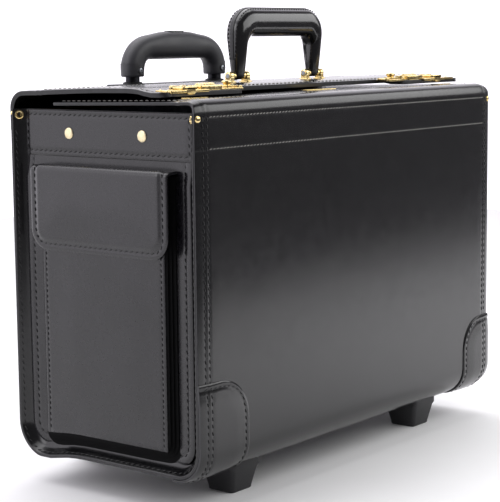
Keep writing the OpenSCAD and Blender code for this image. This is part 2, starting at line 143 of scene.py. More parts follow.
def ticks(low, high, step, marks=(), exact=()):
    """Grid lines at a step, closer together about each mark, with some exact ones."""
    count = max(1, round((high - low) / step))
    lines = [low + (high - low) * i / count for i in range(count + 1)]
    near = [m + d for m in marks for d in (-4, -2, -0.9, 0, 0.9, 2, 4)]
    fixed = sorted(v for v in [low, high, *near, *exact] if low <= v <= high)
    lines = [v for v in lines if all(abs(v - f) > 1.2 for f in fixed)]
    kept = []
    for v in sorted(lines + fixed):
        if not kept or v - kept[-1] > 0.3:
            kept.append(v)
    return kept


def dent(distance, depth=0.5, width=1.5):
    """How far a seam pulls the leather in, at a distance from its thread."""
    return -depth * math.exp(-((distance / width) ** 2))


def ease(value, low, high):
    """Goes smoothly from 0 at low to 1 at high."""
    t = min(max((value - low) / (high - low), 0), 1)
    return t * t * (3 - 2 * t)


def inset_of(u, v, low, high, radius):
    """How far a point is inside a rounded rectangle."""
    du = max(low[0] + radius - u, u - high[0] + radius, 0)
    dv = max(low[1] + radius - v, v - high[1] + radius, 0)
    if du > 0 and dv > 0:
        return radius - math.hypot(du, dv)
    return min(u - low[0], high[0] - u, v - low[1], high[1] - v)


def corner_run(points, radius):
    """Rounds the corners of an open run of points."""
    run = [points[0]]
    for before, corner, after in zip(points, points[1:], points[2:]):
        a = (Vector(before) - Vector(corner)).normalized() * radius
        b = (Vector(after) - Vector(corner)).normalized() * radius
        for i in range(7):
            t = i / 6
            run.append(tuple(Vector(corner) + a * (1 - t) ** 2 + b * t**2))
    return run + [points[-1]]


# ---- Making pieces ----
def finish_mesh(obj, smooth):
    """Applies an object's modifiers and shades it smooth up to an angle."""
    graph = bpy.context.evaluated_depsgraph_get()
    final = bpy.data.meshes.new_from_object(obj.evaluated_get(graph))
    obj.modifiers.clear()
    obj.data = final
    final.shade_smooth()
    final.set_sharp_from_angle(angle=math.radians(smooth))


def build(
    name, verts, faces, finishes, body, nodes=(), slot="", thick=0, bevel=0, smooth=40, open_sheet=False,
    cutters=(),
):
    """Makes one finished piece from points in millimetres, and ties it to the frame.

    body is a body's name, which the piece is tied to. It may instead be two bodies with the start and end of
    a bend between them; these are not used, and the piece stays where it is made."""
    mesh = bpy.data.meshes.new(name)
    mesh.from_pydata([metres(v) for v in verts], [], faces)
    for finish in finishes:
        mesh.materials.append(finish)
    obj = bpy.data.objects.new(name, mesh)
    bpy.context.scene.collection.objects.link(obj)
    if not open_sheet:
        form = bmesh.new()
        form.from_mesh(mesh)
        bmesh.ops.recalc_face_normals(form, faces=form.faces)
        form.to_mesh(mesh)
        form.free()
    if thick:
        solid = obj.modifiers.new("Thickness", "SOLIDIFY")
        solid.thickness = thick / 1000
        solid.offset = -1
        solid.material_offset_rim = len(finishes) - 1
    for cutter in cutters:
        cut = obj.modifiers.new("Opening", "BOOLEAN")
        cut.object = cutter
        cut.solver = "EXACT"
    if bevel:
        edge = obj.modifiers.new("Edge", "BEVEL")
        edge.width = bevel / 1000
        edge.segments = 3
        edge.limit_method = "ANGLE"
        edge.angle_limit = math.radians(45)
    bpy.context.view_layer.update()
    finish_mesh(obj, smooth)
    for cutter in cutters:
        bpy.data.objects.remove(cutter)
    if isinstance(body, str):
        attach(obj, body)
    else:
        metres(body[2])
        metres(body[3])
        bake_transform(obj)
    if nodes:
        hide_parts(*nodes)
    return obj


def sheet(name, place, us, vs, finishes, body, thick, relief=None, keep=None, shape=None, **rest):
    """Makes a sheet of leather on a surface place(u, v, height), with a raised and pinched face."""
    verts = []
    for v in vs:
        for u in us:
            at_u = shape(u, v) if shape else u
            verts.append(place(at_u, v, relief(at_u, v) if relief else 0))
    wide = len(us)
    faces = []
    for j in range(len(vs) - 1):
        for i in range(wide - 1):
            if keep and not keep((us[i] + us[i + 1]) / 2, (vs[j] + vs[j + 1]) / 2):
                continue
            faces.append((j * wide + i, j * wide + i + 1, (j + 1) * wide + i + 1, (j + 1) * wide + i))
    a, b, c = (verts[k] for k in faces[0][:3])
    up = place(us[0], vs[0], 1) - place(us[0], vs[0], 0)
    if (b - a).cross(c - b).dot(up) < 0:
        faces = [face[::-1] for face in faces]
    used = sorted({k for face in faces for k in face})
    index = {k: i for i, k in enumerate(used)}
    faces = [tuple(index[k] for k in face) for face in faces]
    return build(
        name, [verts[k] for k in used], faces, finishes, body, thick=thick, open_sheet=True, **rest,
    )


def stitches(name, runs, finish, body, pitch=None, slant=0.0):
    """Makes every stitch of some seams. A run is a surface, its relief and a path of u and v over it."""
    look = bpy.context.scene.case_leather
    pitch = pitch or look.stitch_pitch
    radius = look.thread_d / 2
    verts, faces = [], []
    ring = 6
    for place, relief, path in runs:
        fine = []
        for (u0, v0), (u1, v1) in zip(path, path[1:]):
            steps = max(1, int(math.hypot(u1 - u0, v1 - v0) / 1.5))
            fine += [(u0 + (u1 - u0) * i / steps, v0 + (v1 - v0) * i / steps) for i in range(steps)]
        fine.append(path[-1])
        spots = [place(u, v, relief(u, v) if relief else 0) for u, v in fine]
        far = [0]
        for p, q in zip(spots, spots[1:]):
            far.append(far[-1] + (q - p).length)
        count = max(1, int(far[-1] / pitch))
        for k in range(count):
            s = (k + 0.5) * far[-1] / count
            i = min(max(bisect.bisect(far, s), 1), len(far) - 1)
            t = (s - far[i - 1]) / max(far[i] - far[i - 1], 1e-6)
            spot = spots[i - 1].lerp(spots[i], t)
            go = (spots[i] - spots[i - 1]).normalized()
            up = (place(*fine[i], 1) - place(*fine[i], 0)).normalized()
            go = (go - up * go.dot(up)).normalized()
            side = up.cross(go)
            go = go * math.cos(slant) + side * math.sin(slant)
            side = up.cross(go)
            base = len(verts)
            for step, (reach, lift, size) in enumerate(
                ((-1, -0.5, 0.45), (-0.72, 0.25, 0.9), (0, 0.45, 1), (0.72, 0.25, 0.9), (1, -0.5, 0.45))
            ):
                centre = spot + go * (reach * pitch * 0.36) + up * (lift * radius * 1.6)
                for r in range(ring):
                    turn = 2 * math.pi * r / ring
                    verts.append(centre + (side * math.cos(turn) + up * math.sin(turn)) * radius * size)
                if step:
                    low = base + (step - 1) * ring
                    for r in range(ring):
                        after = (r + 1) % ring
                        faces.append((low + r, low + after, low + ring + after, low + ring + r))
            faces.append(tuple(base + r for r in range(ring))[::-1])
            faces.append(tuple(base + 4 * ring + r for r in range(ring)))
    return build(name, verts, faces, [finish], body, open_sheet=True, smooth=80, slot="polished_leather")


def loft(rings, caps=True):
    """Points and faces of a closed form drawn through rings of equal count."""
    count = len(rings[0])
    verts = [p for points in rings for p in points]
    faces = []
    for j in range(len(rings) - 1):
        for i in range(count):
            after = (i + 1) % count
            faces.append((j * count + i, j * count + after, (j + 1) * count + after, (j + 1) * count + i))
    if caps:
        faces.append(tuple(range(count))[::-1])
        faces.append(tuple((len(rings) - 1) * count + i for i in range(count)))
    return verts, faces


def lathe(profile, centre, axis, steps=40):
    """A turned form: profile is (radius, distance along the axis) from end to end."""
    axis = Vector(axis).normalized()
    side = axis.orthogonal().normalized()
    other = axis.cross(side)
    rings = []
    for radius, far in profile:
        spot = Vector(centre) + axis * far
        turns = [2 * math.pi * i / steps for i in range(steps)]
        rings.append([spot + (side * math.cos(t) + other * math.sin(t)) * max(radius, 0.01) for t in turns])
    return loft(rings)


def slab(outline, low, high, turn=lambda a, b, c: (a, b, c)):
    """A flat form: an outline in two directions, between two levels of the third."""
    return loft([[turn(a, b, level) for a, b in outline] for level in (low, high)])


def rounded(low, high, radii, steps=6):
    """A rectangle's outline with its own radius at each corner, starting at the low corner."""
    spots = [
        (low[0] + radii[0], low[1] + radii[0]), (high[0] - radii[1], low[1] + radii[1]),
        (high[0] - radii[2], high[1] - radii[2]), (low[0] + radii[3], high[1] - radii[3]),
    ]
    points = []
    for k, ((a, b), radius) in enumerate(zip(spots, radii)):
        for i in range(steps + 1 if radius else 1):
            turn = math.radians(180 + 90 * k + 90 * i / steps)
            points.append((a + radius * math.cos(turn), b + radius * math.sin(turn)))
    return points


def together(*forms):
    """Several forms as one set of points and faces."""
    verts, faces = [], []
    for points, sides in forms:
        faces += [tuple(k + len(verts) for k in side) for side in sides]
        verts += list(points)
    return verts, faces


def tool(verts, faces):
    """A hidden form that cuts an opening."""
    mesh = bpy.data.meshes.new("cutter")
    mesh.from_pydata([metres(v) for v in verts], [], faces)
    form = bmesh.new()
    form.from_mesh(mesh)
    bmesh.ops.recalc_face_normals(form, faces=form.faces)
    form.to_mesh(mesh)
    form.free()
    obj = bpy.data.objects.new("cutter", mesh)
    bpy.context.scene.collection.objects.link(obj)
    obj.hide_render = True
    return obj


# ---- Finishes ----
def linear(colour):
    """An sRGB hex colour as linear red, green, blue and 1."""
    parts = [int(colour[i : i + 2], 16) / 255 for i in (1, 3, 5)]
    return [c / 12.92 if c <= 0.04045 else ((c + 0.055) / 1.055) ** 2.4 for c in parts] + [1.0]


def add(tree, kind, inputs=None, **settings):
    """Adds a node with its settings; an input is a value, or an output to link."""
    node = tree.nodes.new(kind)
    for key, value in settings.items():
        setattr(node, key, value)
    for key, value in (inputs or {}).items():
        if isinstance(value, bpy.types.NodeSocket):
            tree.links.new(value, node.inputs[key])
        else:
            node.inputs[key].default_value = value
    return node


def surface(name, **inputs):
    """A new material with a principled shader; returns it with its tree, shader and object coordinates."""
    material = bpy.data.materials.new(name)
    material.use_nodes = True
    tree = material.node_tree
    tree.nodes.clear()
    shader = add(tree, "ShaderNodeBsdfPrincipled", {k.replace("_", " "): v for k, v in inputs.items()})
    add(tree, "ShaderNodeOutputMaterial", {"Surface": shader.outputs[0]})
    place = add(tree, "ShaderNodeTexCoord").outputs["Object"]
    return material, tree, shader, place


def size(millimetres):
    """The texture scale at which one feature is this many millimetres wide."""
    return 1000 / millimetres


def between(tree, value, low, high):
    """A number that follows a 0 to 1 value between two limits."""
    return add(
        tree, "ShaderNodeMapRange",
        {"Value": value, "From Min": 0.3, "From Max": 0.7, "To Min": low, "To Max": high},
    ).outputs[0]


def shades(tree, value, dark, light):
    """A colour that follows a 0 to 1 value between two hex colours."""
    ramp = add(tree, "ShaderNodeValToRGB", {"Fac": value})
    ramp.color_ramp.elements[0].color, ramp.color_ramp.elements[1].color = linear(dark), linear(light)
    ramp.color_ramp.elements[0].position, ramp.color_ramp.elements[1].position = 0.3, 0.7
    return ramp.outputs["Color"]


def relief_of(tree, *layers):
    """Bumps on each other; a layer is a height output and how high it stands in millimetres."""
    normal = None
    for height, tall in layers:
        inputs = {"Height": height, "Distance": tall / 1000, "Strength": 1.0}
        if normal:
            inputs["Normal"] = normal
        normal = add(tree, "ShaderNodeBump", inputs).outputs["Normal"]
    return normal


def noise(tree, place, width, detail=2.0, rough=0.5):
    """Noise with features about this many millimetres wide."""
    inputs = {"Vector": place, "Scale": size(width), "Detail": detail, "Roughness": rough}
    return add(tree, "ShaderNodeTexNoise", inputs).outputs[0]


def calf_leather(name, dark, light, low, high, coat):
    """Box calf, dyed through and glazed by rolling: near black, with a hard gloss that wavers a little."""
    material, tree, shader, place = surface(
        name, IOR=1.5, Coat_Weight=coat, Coat_Roughness=0.12, Coat_IOR=1.45,
    )
    cloud = noise(tree, place, 60, 3)
    rubbed = noise(tree, place, 9, 5, 0.65)
    # The real pores are about 0.2 mm across; at 0.9 mm they still show
    pores = add(tree, "ShaderNodeTexVoronoi", {"Vector": place, "Scale": size(0.9)}).outputs["Distance"]
    tree.links.new(shades(tree, cloud, dark, light), shader.inputs["Base Color"])
    tree.links.new(between(tree, rubbed, low, high), shader.inputs["Roughness"])
    waves = noise(tree, place, 55, 1)
    normal = relief_of(tree, (waves, 0.25), (rubbed, 0.008), (pores, 0.008))
    tree.links.new(normal, shader.inputs["Normal"])
    return material


def plain_finish(name, dark, light, width, low, high, tall=0.0, grain=1.0, **inputs):
    """A finish whose colour and gloss waver over one width, with a fine grain of its own."""
    material, tree, shader, place = surface(name, **inputs)
    cloud = noise(tree, place, width, 4, 0.6)
    tree.links.new(shades(tree, cloud, dark, light), shader.inputs["Base Color"])
    tree.links.new(between(tree, cloud, low, high), shader.inputs["Roughness"])
    if tall:
        tree.links.new(relief_of(tree, (noise(tree, place, grain, 2), tall)), shader.inputs["Normal"])
    return material


def woven_lining(name):
    """Woven nylon: a plain weave of 0.5 mm threads, drawn at 2 mm so that it shows."""
    material, tree, shader, place = surface(name, IOR=1.53, Sheen_Weight=0.3, Sheen_Roughness=0.4)
    threads = []
    for direction in ("X", "Y", "Z"):
        inputs = {"Vector": place, "Scale": size(2) / 20, "Distortion": 0.4, "Detail": 1.0}
        wave = add(tree, "ShaderNodeTexWave", inputs, bands_direction=direction)
        threads.append(wave.outputs["Fac"])
    weave = add(tree, "ShaderNodeMath", {0: threads[0], 1: threads[2]}, operation="MULTIPLY").outputs[0]
    weave = add(tree, "ShaderNodeMath", {0: weave, 1: threads[1]}, operation="ADD").outputs[0]
    tree.links.new(shades(tree, weave, "#202126", "#3d3e46"), shader.inputs["Base Color"])
    shader.inputs["Roughness"].default_value = 0.7
    tree.links.new(relief_of(tree, (weave, 0.2)), shader.inputs["Normal"])
    return material


def brushed(name, dark, light, low, high, metallic=1.0):
    """Drawn or polished metal: fine lines along its length, with a little tarnish."""
    material, tree, shader, place = surface(name, Metallic=metallic)
    stretched = add(tree, "ShaderNodeMapping", {"Vector": place, "Scale": (0.06, 1, 1)}).outputs[0]
    # Polishing lines of a few hundredths of a millimetre, drawn at 0.3 mm
    lines = noise(tree, stretched, 0.3, 2)
    cloud = noise(tree, place, 5, 4, 0.6)
    tree.links.new(shades(tree, cloud, dark, light), shader.inputs["Base Color"])
    tree.links.new(between(tree, cloud, low, high), shader.inputs["Roughness"])
    tree.links.new(relief_of(tree, (lines, 0.004)), shader.inputs["Normal"])
    return material


FINISHES = {}


def make_finishes():
    """Makes every material once."""
    look = bpy.context.scene.case_finish
    shine = (look.leather_gloss, look.leather_gloss + 0.06)
    FINISHES.update(
        # Box calf: glazed black with a blue-black cast; the end panels are the same hide, a touch greyer
        calf=calf_leather("polished_box_calf", "#070708", "#0e0e10", *shine, 0.15),
        end_calf=calf_leather(
            "end_panel_box_calf", "#0c0b0e", "#151418", shine[0] + 0.04, shine[1] + 0.04, 0.25,
        ),
        grip_calf=calf_leather("handle_box_calf", "#060607", "#0c0c0e", 0.14, 0.24, 0.6),
        # Acrylic edge paint: a satin skin over the cut fibres, paler where it was rubbed
        edge=plain_finish("painted_leather_edge", "#111113", "#232326", 6, 0.28, 0.45, 0.04, 1.5, IOR=1.49),
        # Waxed polyester thread: black, twisted and satin, with a faint random grey mottle of wax. The pale
        # copy below is the same black thread coloured light grey as a painted highlight, for the seams that
        # catch the light
        thread=plain_finish("waxed_black_thread", "#0d0d0e", "#1f1f20", 3, 0.45, 0.65, 0.05, 0.6, IOR=1.55),
        # Painted highlight: the black thread coloured light grey, for the front and top rows
        pale_thread=plain_finish(
            "black_thread_painted_highlight", "#6c6a67", "#9d9a94", 3, 0.45, 0.65, 0.05, 0.6, IOR=1.55,
        ),
        # Polished brass under lacquer: pale gold, mirror-like, with faint rubbing
        brass=brushed("polished_brass", "#d9bb76", "#f2dfa8", 0.1, 0.22),
        # Rivet heads of lighter brass, tumbled: pale straw with a soft gloss
        pale_brass=brushed("tumbled_brass", "#e8d5a4", "#f6ebcc", 0.3, 0.42, 0.75),
        dial_brass=brushed("satin_brass", "#dcc48a", "#efe0b4", 0.25, 0.38),
        # Zinc-plated steel: bluish grey, half dull
        steel=brushed("zinc_plated_steel", "#7d8188", "#a4a8ae", 0.28, 0.45),
        # Clear anodised tube drawn to size: even satin silver; and the same in black
        aluminium=brushed("anodised_aluminium", "#9c9fa4", "#b6b9bd", 0.25, 0.35),
        dark_tube=brushed("black_anodised_aluminium", "#232326", "#323236", 0.3, 0.42),
        # ABS moulded in a spark-eroded tool: even matt black with a fine pitted grain, drawn at 0.8 mm
        abs=plain_finish("moulded_abs", "#2a2a2e", "#35353a", 25, 0.42, 0.55, 0.03, 0.8, IOR=1.54),
        gloss_abs=plain_finish("glossy_abs", "#0e0e10", "#151517", 20, 0.18, 0.3, 0.004, 0.8, IOR=1.54),
        # Polypropylene moulding: a waxy black
        polypropylene=plain_finish(
            "moulded_polypropylene", "#161618", "#212124", 18, 0.4, 0.55, 0.02, 1.0, IOR=1.49,
        ),
        # Thermoplastic rubber tread: dull, greyer where it has rolled
        rubber=plain_finish("tyre_rubber", "#131314", "#26262a", 8, 0.7, 0.9, 0.06, 0.8, IOR=1.52),
        # Coated canvas of the pocket's pleated sides: black, and made near black with its gloss turned down
        # as painted shade, so that the pleats read as the shaded recess beside the pocket
        bellows=plain_finish(
            "coated_canvas_painted_shade", "#050506", "#0b0b0c", 7, 0.7, 0.85, 0.05, 0.7,
            IOR=1.45, Specular_IOR_Level=0.12,
        ),
        # Leather board: compressed fibre, brown and felted
        board=plain_finish("leather_board", "#6b5136", "#8d7150", 12, 0.75, 0.9, 0.1, 1.2, IOR=1.5),
        # White enamel paint in the numbers' grooves
        enamel=plain_finish("white_enamel", "#e6e3da", "#f4f2ea", 2, 0.3, 0.4, IOR=1.5),
        lining=woven_lining("woven_nylon_lining"),
    )


CARRIED = {
    "board": ("front_board", "back_board", "bottom_board", "front_rail", "back_rail", "end_boards"),
    "lining": ("lining",),
    "steel": ("mouth_rails", "case_screws", "axles", "flap_pins", "release_yoke", "grip_screws"),
    "brass": ("snap_stud", "strike_plates", "handle_feet", "handle_lugs"),
    "aluminium": ("outer_tubes", "middle_tubes"),
    "dark_tube": ("inner_tubes",),
    "polypropylene": ("wheel_housings", "tube_rings"),
    "abs": ("trolley_bezel", "grip_collars"),
}


# ---- Surfaces that several pieces share ----
FRONT_R, BACK_R = 28.0, 28.0
ROOM_Y, ROOM_Z = 69.5, 78.5
FLAP_BEND, HINGE_BEND = 11.0, 16.0
flap_tip = cad("inner_flap")[1][1]
flap_z = cad("inner_flap")[1][2]
body_path = trace(
    ((flap_tip, flap_z - 3), (-half_w + FLAP_BEND, flap_z)),
    ((-half_w + FLAP_BEND, flap_z - FLAP_BEND), FLAP_BEND, 90, 180),
    ((-half_w, flap_z - FLAP_BEND), (-half_w, ground + FRONT_R)),
    ((-half_w + FRONT_R, ground + FRONT_R), FRONT_R, 180, 270),
    ((-half_w + FRONT_R, ground), (half_w - BACK_R, ground)),
    ((half_w - BACK_R, ground + BACK_R), BACK_R, 270, 360),
    ((half_w, ground + BACK_R), (half_w, 336)),
)
body = over(body_path)
wall_s = next(s for s, p in body_path if p[0] <= -half_w + 0.01)
foot_s = wall_s + flap_z - FLAP_BEND - ground - FRONT_R
bottom_s = foot_s + math.pi / 2 * FRONT_R
back_s = bottom_s + 2 * half_w - FRONT_R - BACK_R
rear_s = back_s + math.pi / 2 * BACK_R
SEAM_X = (231.0, 226.0)
SEAM_Z = (338.0, 311.5)


def front_s(z):
    """The length along the body's path at a height on the front wall."""
    return wall_s + flap_z - FLAP_BEND - z


def body_relief(x, s):
    """The body's leather: pulled in along its seams, and full between them."""
    a, b = along(body_path, s)
    h = sum(dent(abs(x) - seam) for seam in SEAM_X) if s > wall_s - 6 else dent(abs(x) - 231)
    h -= 2.6 * ease(abs(x), 225, 244)
    if wall_s < s < foot_s + 20:
        h += sum(dent(b - z, 0.2, 0.9) for z in SEAM_Z)
        h += 1.5 * max(0, 1 - (x / 226) ** 2) * ease(b, 30, 150) * ease(311 - b, 0, 110)
    if s < wall_s - 10:
        h += dent(a + 88) + 1.4 * max(0, 1 - (x / 118) ** 2) * ease(a, -95, -40) * ease(56 - a, 0, 30)
    return h


def end_place(side, lift=0.0):
    """The flat face of an end panel, lifted off the frame's panel."""

    def place(y, z, h=0.0):
        return Vector((side * (panel_x + lift + h), y, z))

    return place


# ---- Settings ----
class CaseLeather(bpy.types.PropertyGroup):
    """Sizes of the leather and its seams."""

    stitch_pitch: FloatProperty(
        name="Stitch pitch", description="Distance from stitch to stitch, mm", default=6.0, min=2,
    )
    thread_d: FloatProperty(name="Thread", description="Diameter of the thread, mm", default=0.95, min=0.3)


class CaseFinish(bpy.types.PropertyGroup):
    """The leather's gloss."""

    leather_gloss: FloatProperty(
        name="Leather roughness", description="Lowest roughness of the leather", default=0.2, min=0, max=1,
    )


class CaseStage(bpy.types.PropertyGroup):
    """The camera, and the brightness of the backdrop and the room."""

    eye: FloatVectorProperty(
        name="Eye", description="Where the camera stands", default=(-1.22882, -0.95287, 0.40304),
        subtype="XYZ",
    )
    yaw: FloatProperty(
        name="Yaw", description="Direction of view from +x", default=math.radians(38.155), subtype="ANGLE",
    )
    pitch: FloatProperty(
        name="Pitch", description="How far the view points down", default=math.radians(7.69),
        subtype="ANGLE",
    )
    roll: FloatProperty(
        name="Roll", description="Turn about the view", default=math.radians(-0.577), subtype="ANGLE",
    )
    lens: FloatProperty(name="Lens", description="Focal length, mm", default=113.81)
    backdrop: FloatProperty(name="Backdrop", description="Brightness of the white backdrop", default=1.55)
    room: FloatProperty(name="Room", description="Brightness of the room behind the camera", default=0.16)


# ---- Pieces ----
class CASE_OT_shell(bpy.types.Operator):
    """The leather that wraps the front, bottom and back, and turns over the top as the inner flap"""

    bl_idname = "case.shell"
    bl_label = "Body leather"

    def execute(self, context):
        rooms = [side * WHEEL_X + reach for side in SIDES for reach in (-18.5, 18.5)]
        xs = ticks(-half_l, half_l, 14, [side * x for side in SIDES for x in SEAM_X], rooms)
        marks = [front_s(z) for z in SEAM_Z]
        rows = ticks(0, wall_s - 17, 9, (flap_tip + 88,))[:-1] + ticks(wall_s - 17, wall_s, 2.5)[:-1]
        rows += ticks(wall_s, foot_s, 9, marks)[:-1] + ticks(foot_s, bottom_s, 4)[:-1]
        room = (back_s - (half_w - BACK_R - ROOM_Y), rear_s + ROOM_Z - ground - BACK_R)
        rows += ticks(bottom_s, back_s, 12, exact=(room[0],))[:-1] + ticks(back_s, rear_s, 4)[:-1]
        rows += ticks(rear_s, body_path[-1][0], 12, exact=(room[1],))

        def keep(x, s):
            return not (abs(abs(x) - WHEEL_X) < 18 and room[0] < s < room[1])

        def shape(x, s):
            return x * (1 - 2 / half_l * (1 - ease(s, wall_s - 17, wall_s + 2)))

        bend = ("case", "inner_top", (0, 0, 338), (0, 0, 346))
        sheet(
            "body_leather", body, xs, rows, [FINISHES["calf"], FINISHES["edge"]], bend, 3, body_relief,
            keep, shape, bevel=0.7, nodes=("wrapper", "inner_flap"), slot="polished_leather",
        )
        ends = (-224, 224)
        runs = [(body, body_relief, [(ends[0], front_s(z)), (ends[1], front_s(z))]) for z in SEAM_Z]
        # These rows use the black thread coloured light grey as a painted highlight
        stitches("level_stitches", runs, FINISHES["pale_thread"], "case", pitch=4.5, slant=0.2)
        runs = [(body, body_relief, [(side * x, start), (side * x, stop)]) for side in SIDES for x in SEAM_X
                for start, stop in ((wall_s + 2, front_s(112)), (bottom_s + 8, body_path[-1][0] - 4))]
        stitches("upright_stitches", runs, FINISHES["thread"], "case", slant=0.25)
        top = [(body, body_relief, [(-233, flap_tip + 88), (233, flap_tip + 88)])]
        top += [(body, body_relief, [(side * 231, 4), (side * 231, wall_s - 22)]) for side in SIDES]
        # These rows use the black thread coloured light grey as a painted highlight
        stitches("inner_flap_stitches", top, FINISHES["pale_thread"], "inner_top")
        return {"FINISHED"}


def end_ring(inset, x, side):
    """One line round the inside of an end, at a distance in from the body's outline."""
    w = half_w - inset
    front, back = max(FRONT_R - inset, 1), max(BACK_R - inset, 1)
    low = ground + inset
    runs = [
        [(-w, wall_top - (wall_top - low - front) * i / 24) for i in range(25)],
        [(-w + front - front * math.cos(t), low + front - front * math.sin(t)) for t in quarter(8)],
        [(-w + front + (2 * w - front - back) * i / 14, low) for i in range(1, 15)],
        [(w - back + back * math.sin(t), low + back - back * math.cos(t)) for t in quarter(12)],
        [(w, low + back + (wall_top - low - back) * i / 24) for i in range(1, 25)],
    ]
    return [Vector((side * x, y, z)) for run in runs for y, z in run]


def quarter(steps):
    """The angles of a quarter turn, without its start."""
    return [math.pi / 2 * i / steps for i in range(1, steps + 1)]


class CASE_OT_ends(bpy.types.Operator):
    """The end panels, which turn out inside the rims, with their top bands and seams"""

    bl_idname = "case.ends"
    bl_label = "End panels"

    def execute(self, context):
        rings = (
            (3.3, 231), (3.3, 238.2), (3.6, 239.4), (4.4, 240), (5.3, 239.8), (5.9, 239), (6.3, 238.2),
            (7, 237.2), (8, 235.8), (9, 234), (10.4, 232.2), (12.5, 230.6), (16, 229.4), (24, 229),
        )
        verts, faces = [], []
        for side in SIDES:
            base = len(verts)
            lines = [end_ring(inset, x, side) for inset, x in rings]
            count = len(lines[0])
            verts += [p for line in lines for p in line]
            new = [
                (
                    base + j * count + i, base + j * count + i + 1, base + (j + 1) * count + i + 1,
                    base + (j + 1) * count + i,
                )
                for j in range(len(lines) - 1)
                for i in range(count - 1)
            ]
            new.append(tuple(base + (len(lines) - 1) * count + i for i in range(count)))
            faces += new if side > 0 else [face[::-1] for face in new]
        build("end_gusset_leather", verts, faces, [FINISHES["calf"], FINISHES["edge"]], "case",
              nodes=("rims", "end_panels"), slot="polished_leather", thick=2.4, open_sheet=True)
        runs = []
        edge_y, foot_z, r = half_w - 13, ground + 13, 17
        for side, label in zip(SIDES, ("left", "right")):
            panel = end_place(side, 0.2)
            band = end_place(side, 1.7)

            def shape(y, z):
                t = z - foot_z
                return y * (1 - (r - math.sqrt(max(r * r - (r - t) ** 2, 0))) / edge_y) if t < r else y

            def panel_relief(y, z):
                d = inset_of(y, z, (-edge_y, foot_z), (edge_y, 900), r)
                rise = 3.2 * min(max((abs(y) - 74) / 21, 0), 1) * (1 - ease(z, 282, 298))
                return dent(d - 7.5, 0.45, 1.3) - 0.9 * (1 - ease(d, 0, 2)) + rise

            def band_relief(y, z):
                h = dent(z - 304.5, 0.5) + dent(z - 336.5, 0.5) + dent(edge_y - abs(y) - 2.5, 0.5)
                return h - 0.7 * (
                    1 - ease(z, wall_top - 41, wall_top - 39)
                ) - 0.7 * ease(abs(y), edge_y - 1.5, edge_y)

            ys = ticks(-edge_y, edge_y, 9, (-edge_y + 7.5, edge_y - 7.5), (1 - edge_y, edge_y - 1))
            zs = ticks(
                foot_z, wall_top - 1, 12, (foot_z + 7.5,), [foot_z + k for k in (0.5, 1.2, 2.5, 12, 14.5)],
            )
            sheet(
                f"end_panel_{label}", panel, ys, zs, [FINISHES["end_calf"], FINISHES["edge"]], "case", 1.6,
                panel_relief, shape=shape, bevel=0.4, slot="polished_leather",
            )
            ys = ticks(-edge_y, edge_y, 9, (2.5 - edge_y, edge_y - 2.5))
            zs = ticks(wall_top - 41, wall_top - 0.5, 6, (304.5, 336.5))
            sheet(
                f"end_band_{label}", band, ys, zs, [FINISHES["end_calf"], FINISHES["edge"]], "case", 1.4,
                band_relief, bevel=0.4, slot="polished_leather", nodes=("end_bands",) if side < 0 else (),
            )
            for z in (304.5, 336.5):
                runs.append((band, band_relief, [(3 - edge_y, z), (edge_y - 3, z)]))
            for y in (2.5 - edge_y, edge_y - 2.5):
                runs.append((band, band_relief, [(y, 304.5), (y, 336.5)]))
            d = 7.5
            line = corner_run(
                [(d - edge_y, 299), (d - edge_y, foot_z + d), (edge_y - d, foot_z + d), (edge_y - d, 299)],
                r - d,
            )
            runs.append((panel, panel_relief, line))
            # The seam that holds the gusset to the rim, just inside its lip
            line = end_ring(6.9, 0, side)

            def lip(u, v, h=0.0, line=line, side=side):
                i = min(max(int(u), 0), len(line) - 2)
                p = line[i].lerp(line[i + 1], u - i)
                inward = Vector((0, -p[1], max(0, 120 - p[2]) * 1.2)).normalized()
                return Vector((side * 237.4, p[1], p[2])) + (inward * 0.7 + Vector((side * 0.7, 0, 0))) * h

            runs.append((lip, None, [(1.5, 0), (len(line) - 2.5, 0)]))
        stitches("end_stitches", runs, FINISHES["thread"], "case", slant=0.35)
        return {"FINISHED"}


class CASE_OT_patches(bpy.types.Operator):
    """The leather patches sewn over the four bottom corners"""

    bl_idname = "case.patches"
    bl_label = "Corner patches"

    def execute(self, context):
        runs = []
        for side, wide, high, r in ((-1, 65, 115, 38), (1, 52, 108, 32)):
            start, stop, inner = front_s(high), bottom_s + 4, half_l - wide

            def reach(s, start=start, inner=inner, r=r):
                t = s - start
                return inner + (r - math.sqrt(max(r * r - (r - t) ** 2, 0)) if t < r else 0)

            def shape(u, s, reach=reach, side=side, inner=inner):
                t = (u - inner) / (half_l - inner)
                return side * (reach(s) + t * (half_l + 0.3 - reach(s)))

            def relief(x, s, start=start, inner=inner, r=r):
                d = inset_of(abs(x), s - start, (inner, 0), (inner + 900, 900), r)
                seam = sum(dent(abs(x) - seam) for seam in SEAM_X)
                edge = 1.6 - 0.8 * (1 - ease(d, 0, 1.6)) - 2.6 * ease(abs(x), 225, 244)
                return edge + dent(d - 5) + 0.7 * ease(d, 7, 20) + seam

            us = ticks(inner, half_l, 4, (inner + 5, *SEAM_X))
            vs = ticks(start, stop, 3.5, (start + 5,), [start + t for t in (0.2, 0.6, 1.2, 2.4)])
            label = "left" if side < 0 else "right"
            sheet(
                f"corner_patch_{label}", body, us, vs, [FINISHES["calf"], FINISHES["edge"]], "case", 1.9,
                relief, shape=shape, bevel=0.4, slot="polished_leather",
                nodes=("corner_patches",) if side < 0 else (),
            )
            line = corner_run(
                [
                    (side * (half_l - 4), start + 5), (side * (inner + 5), start + 5),
                    (side * (inner + 5), stop),
                ],
                r - 5,
            )
            runs.append((body, relief, line))
            runs += [(body, relief, [(side * x, start + 2), (side * x, stop)]) for x in SEAM_X]
        stitches("patch_stitches", runs, FINISHES["thread"], "case", slant=0.25)
        return {"FINISHED"}


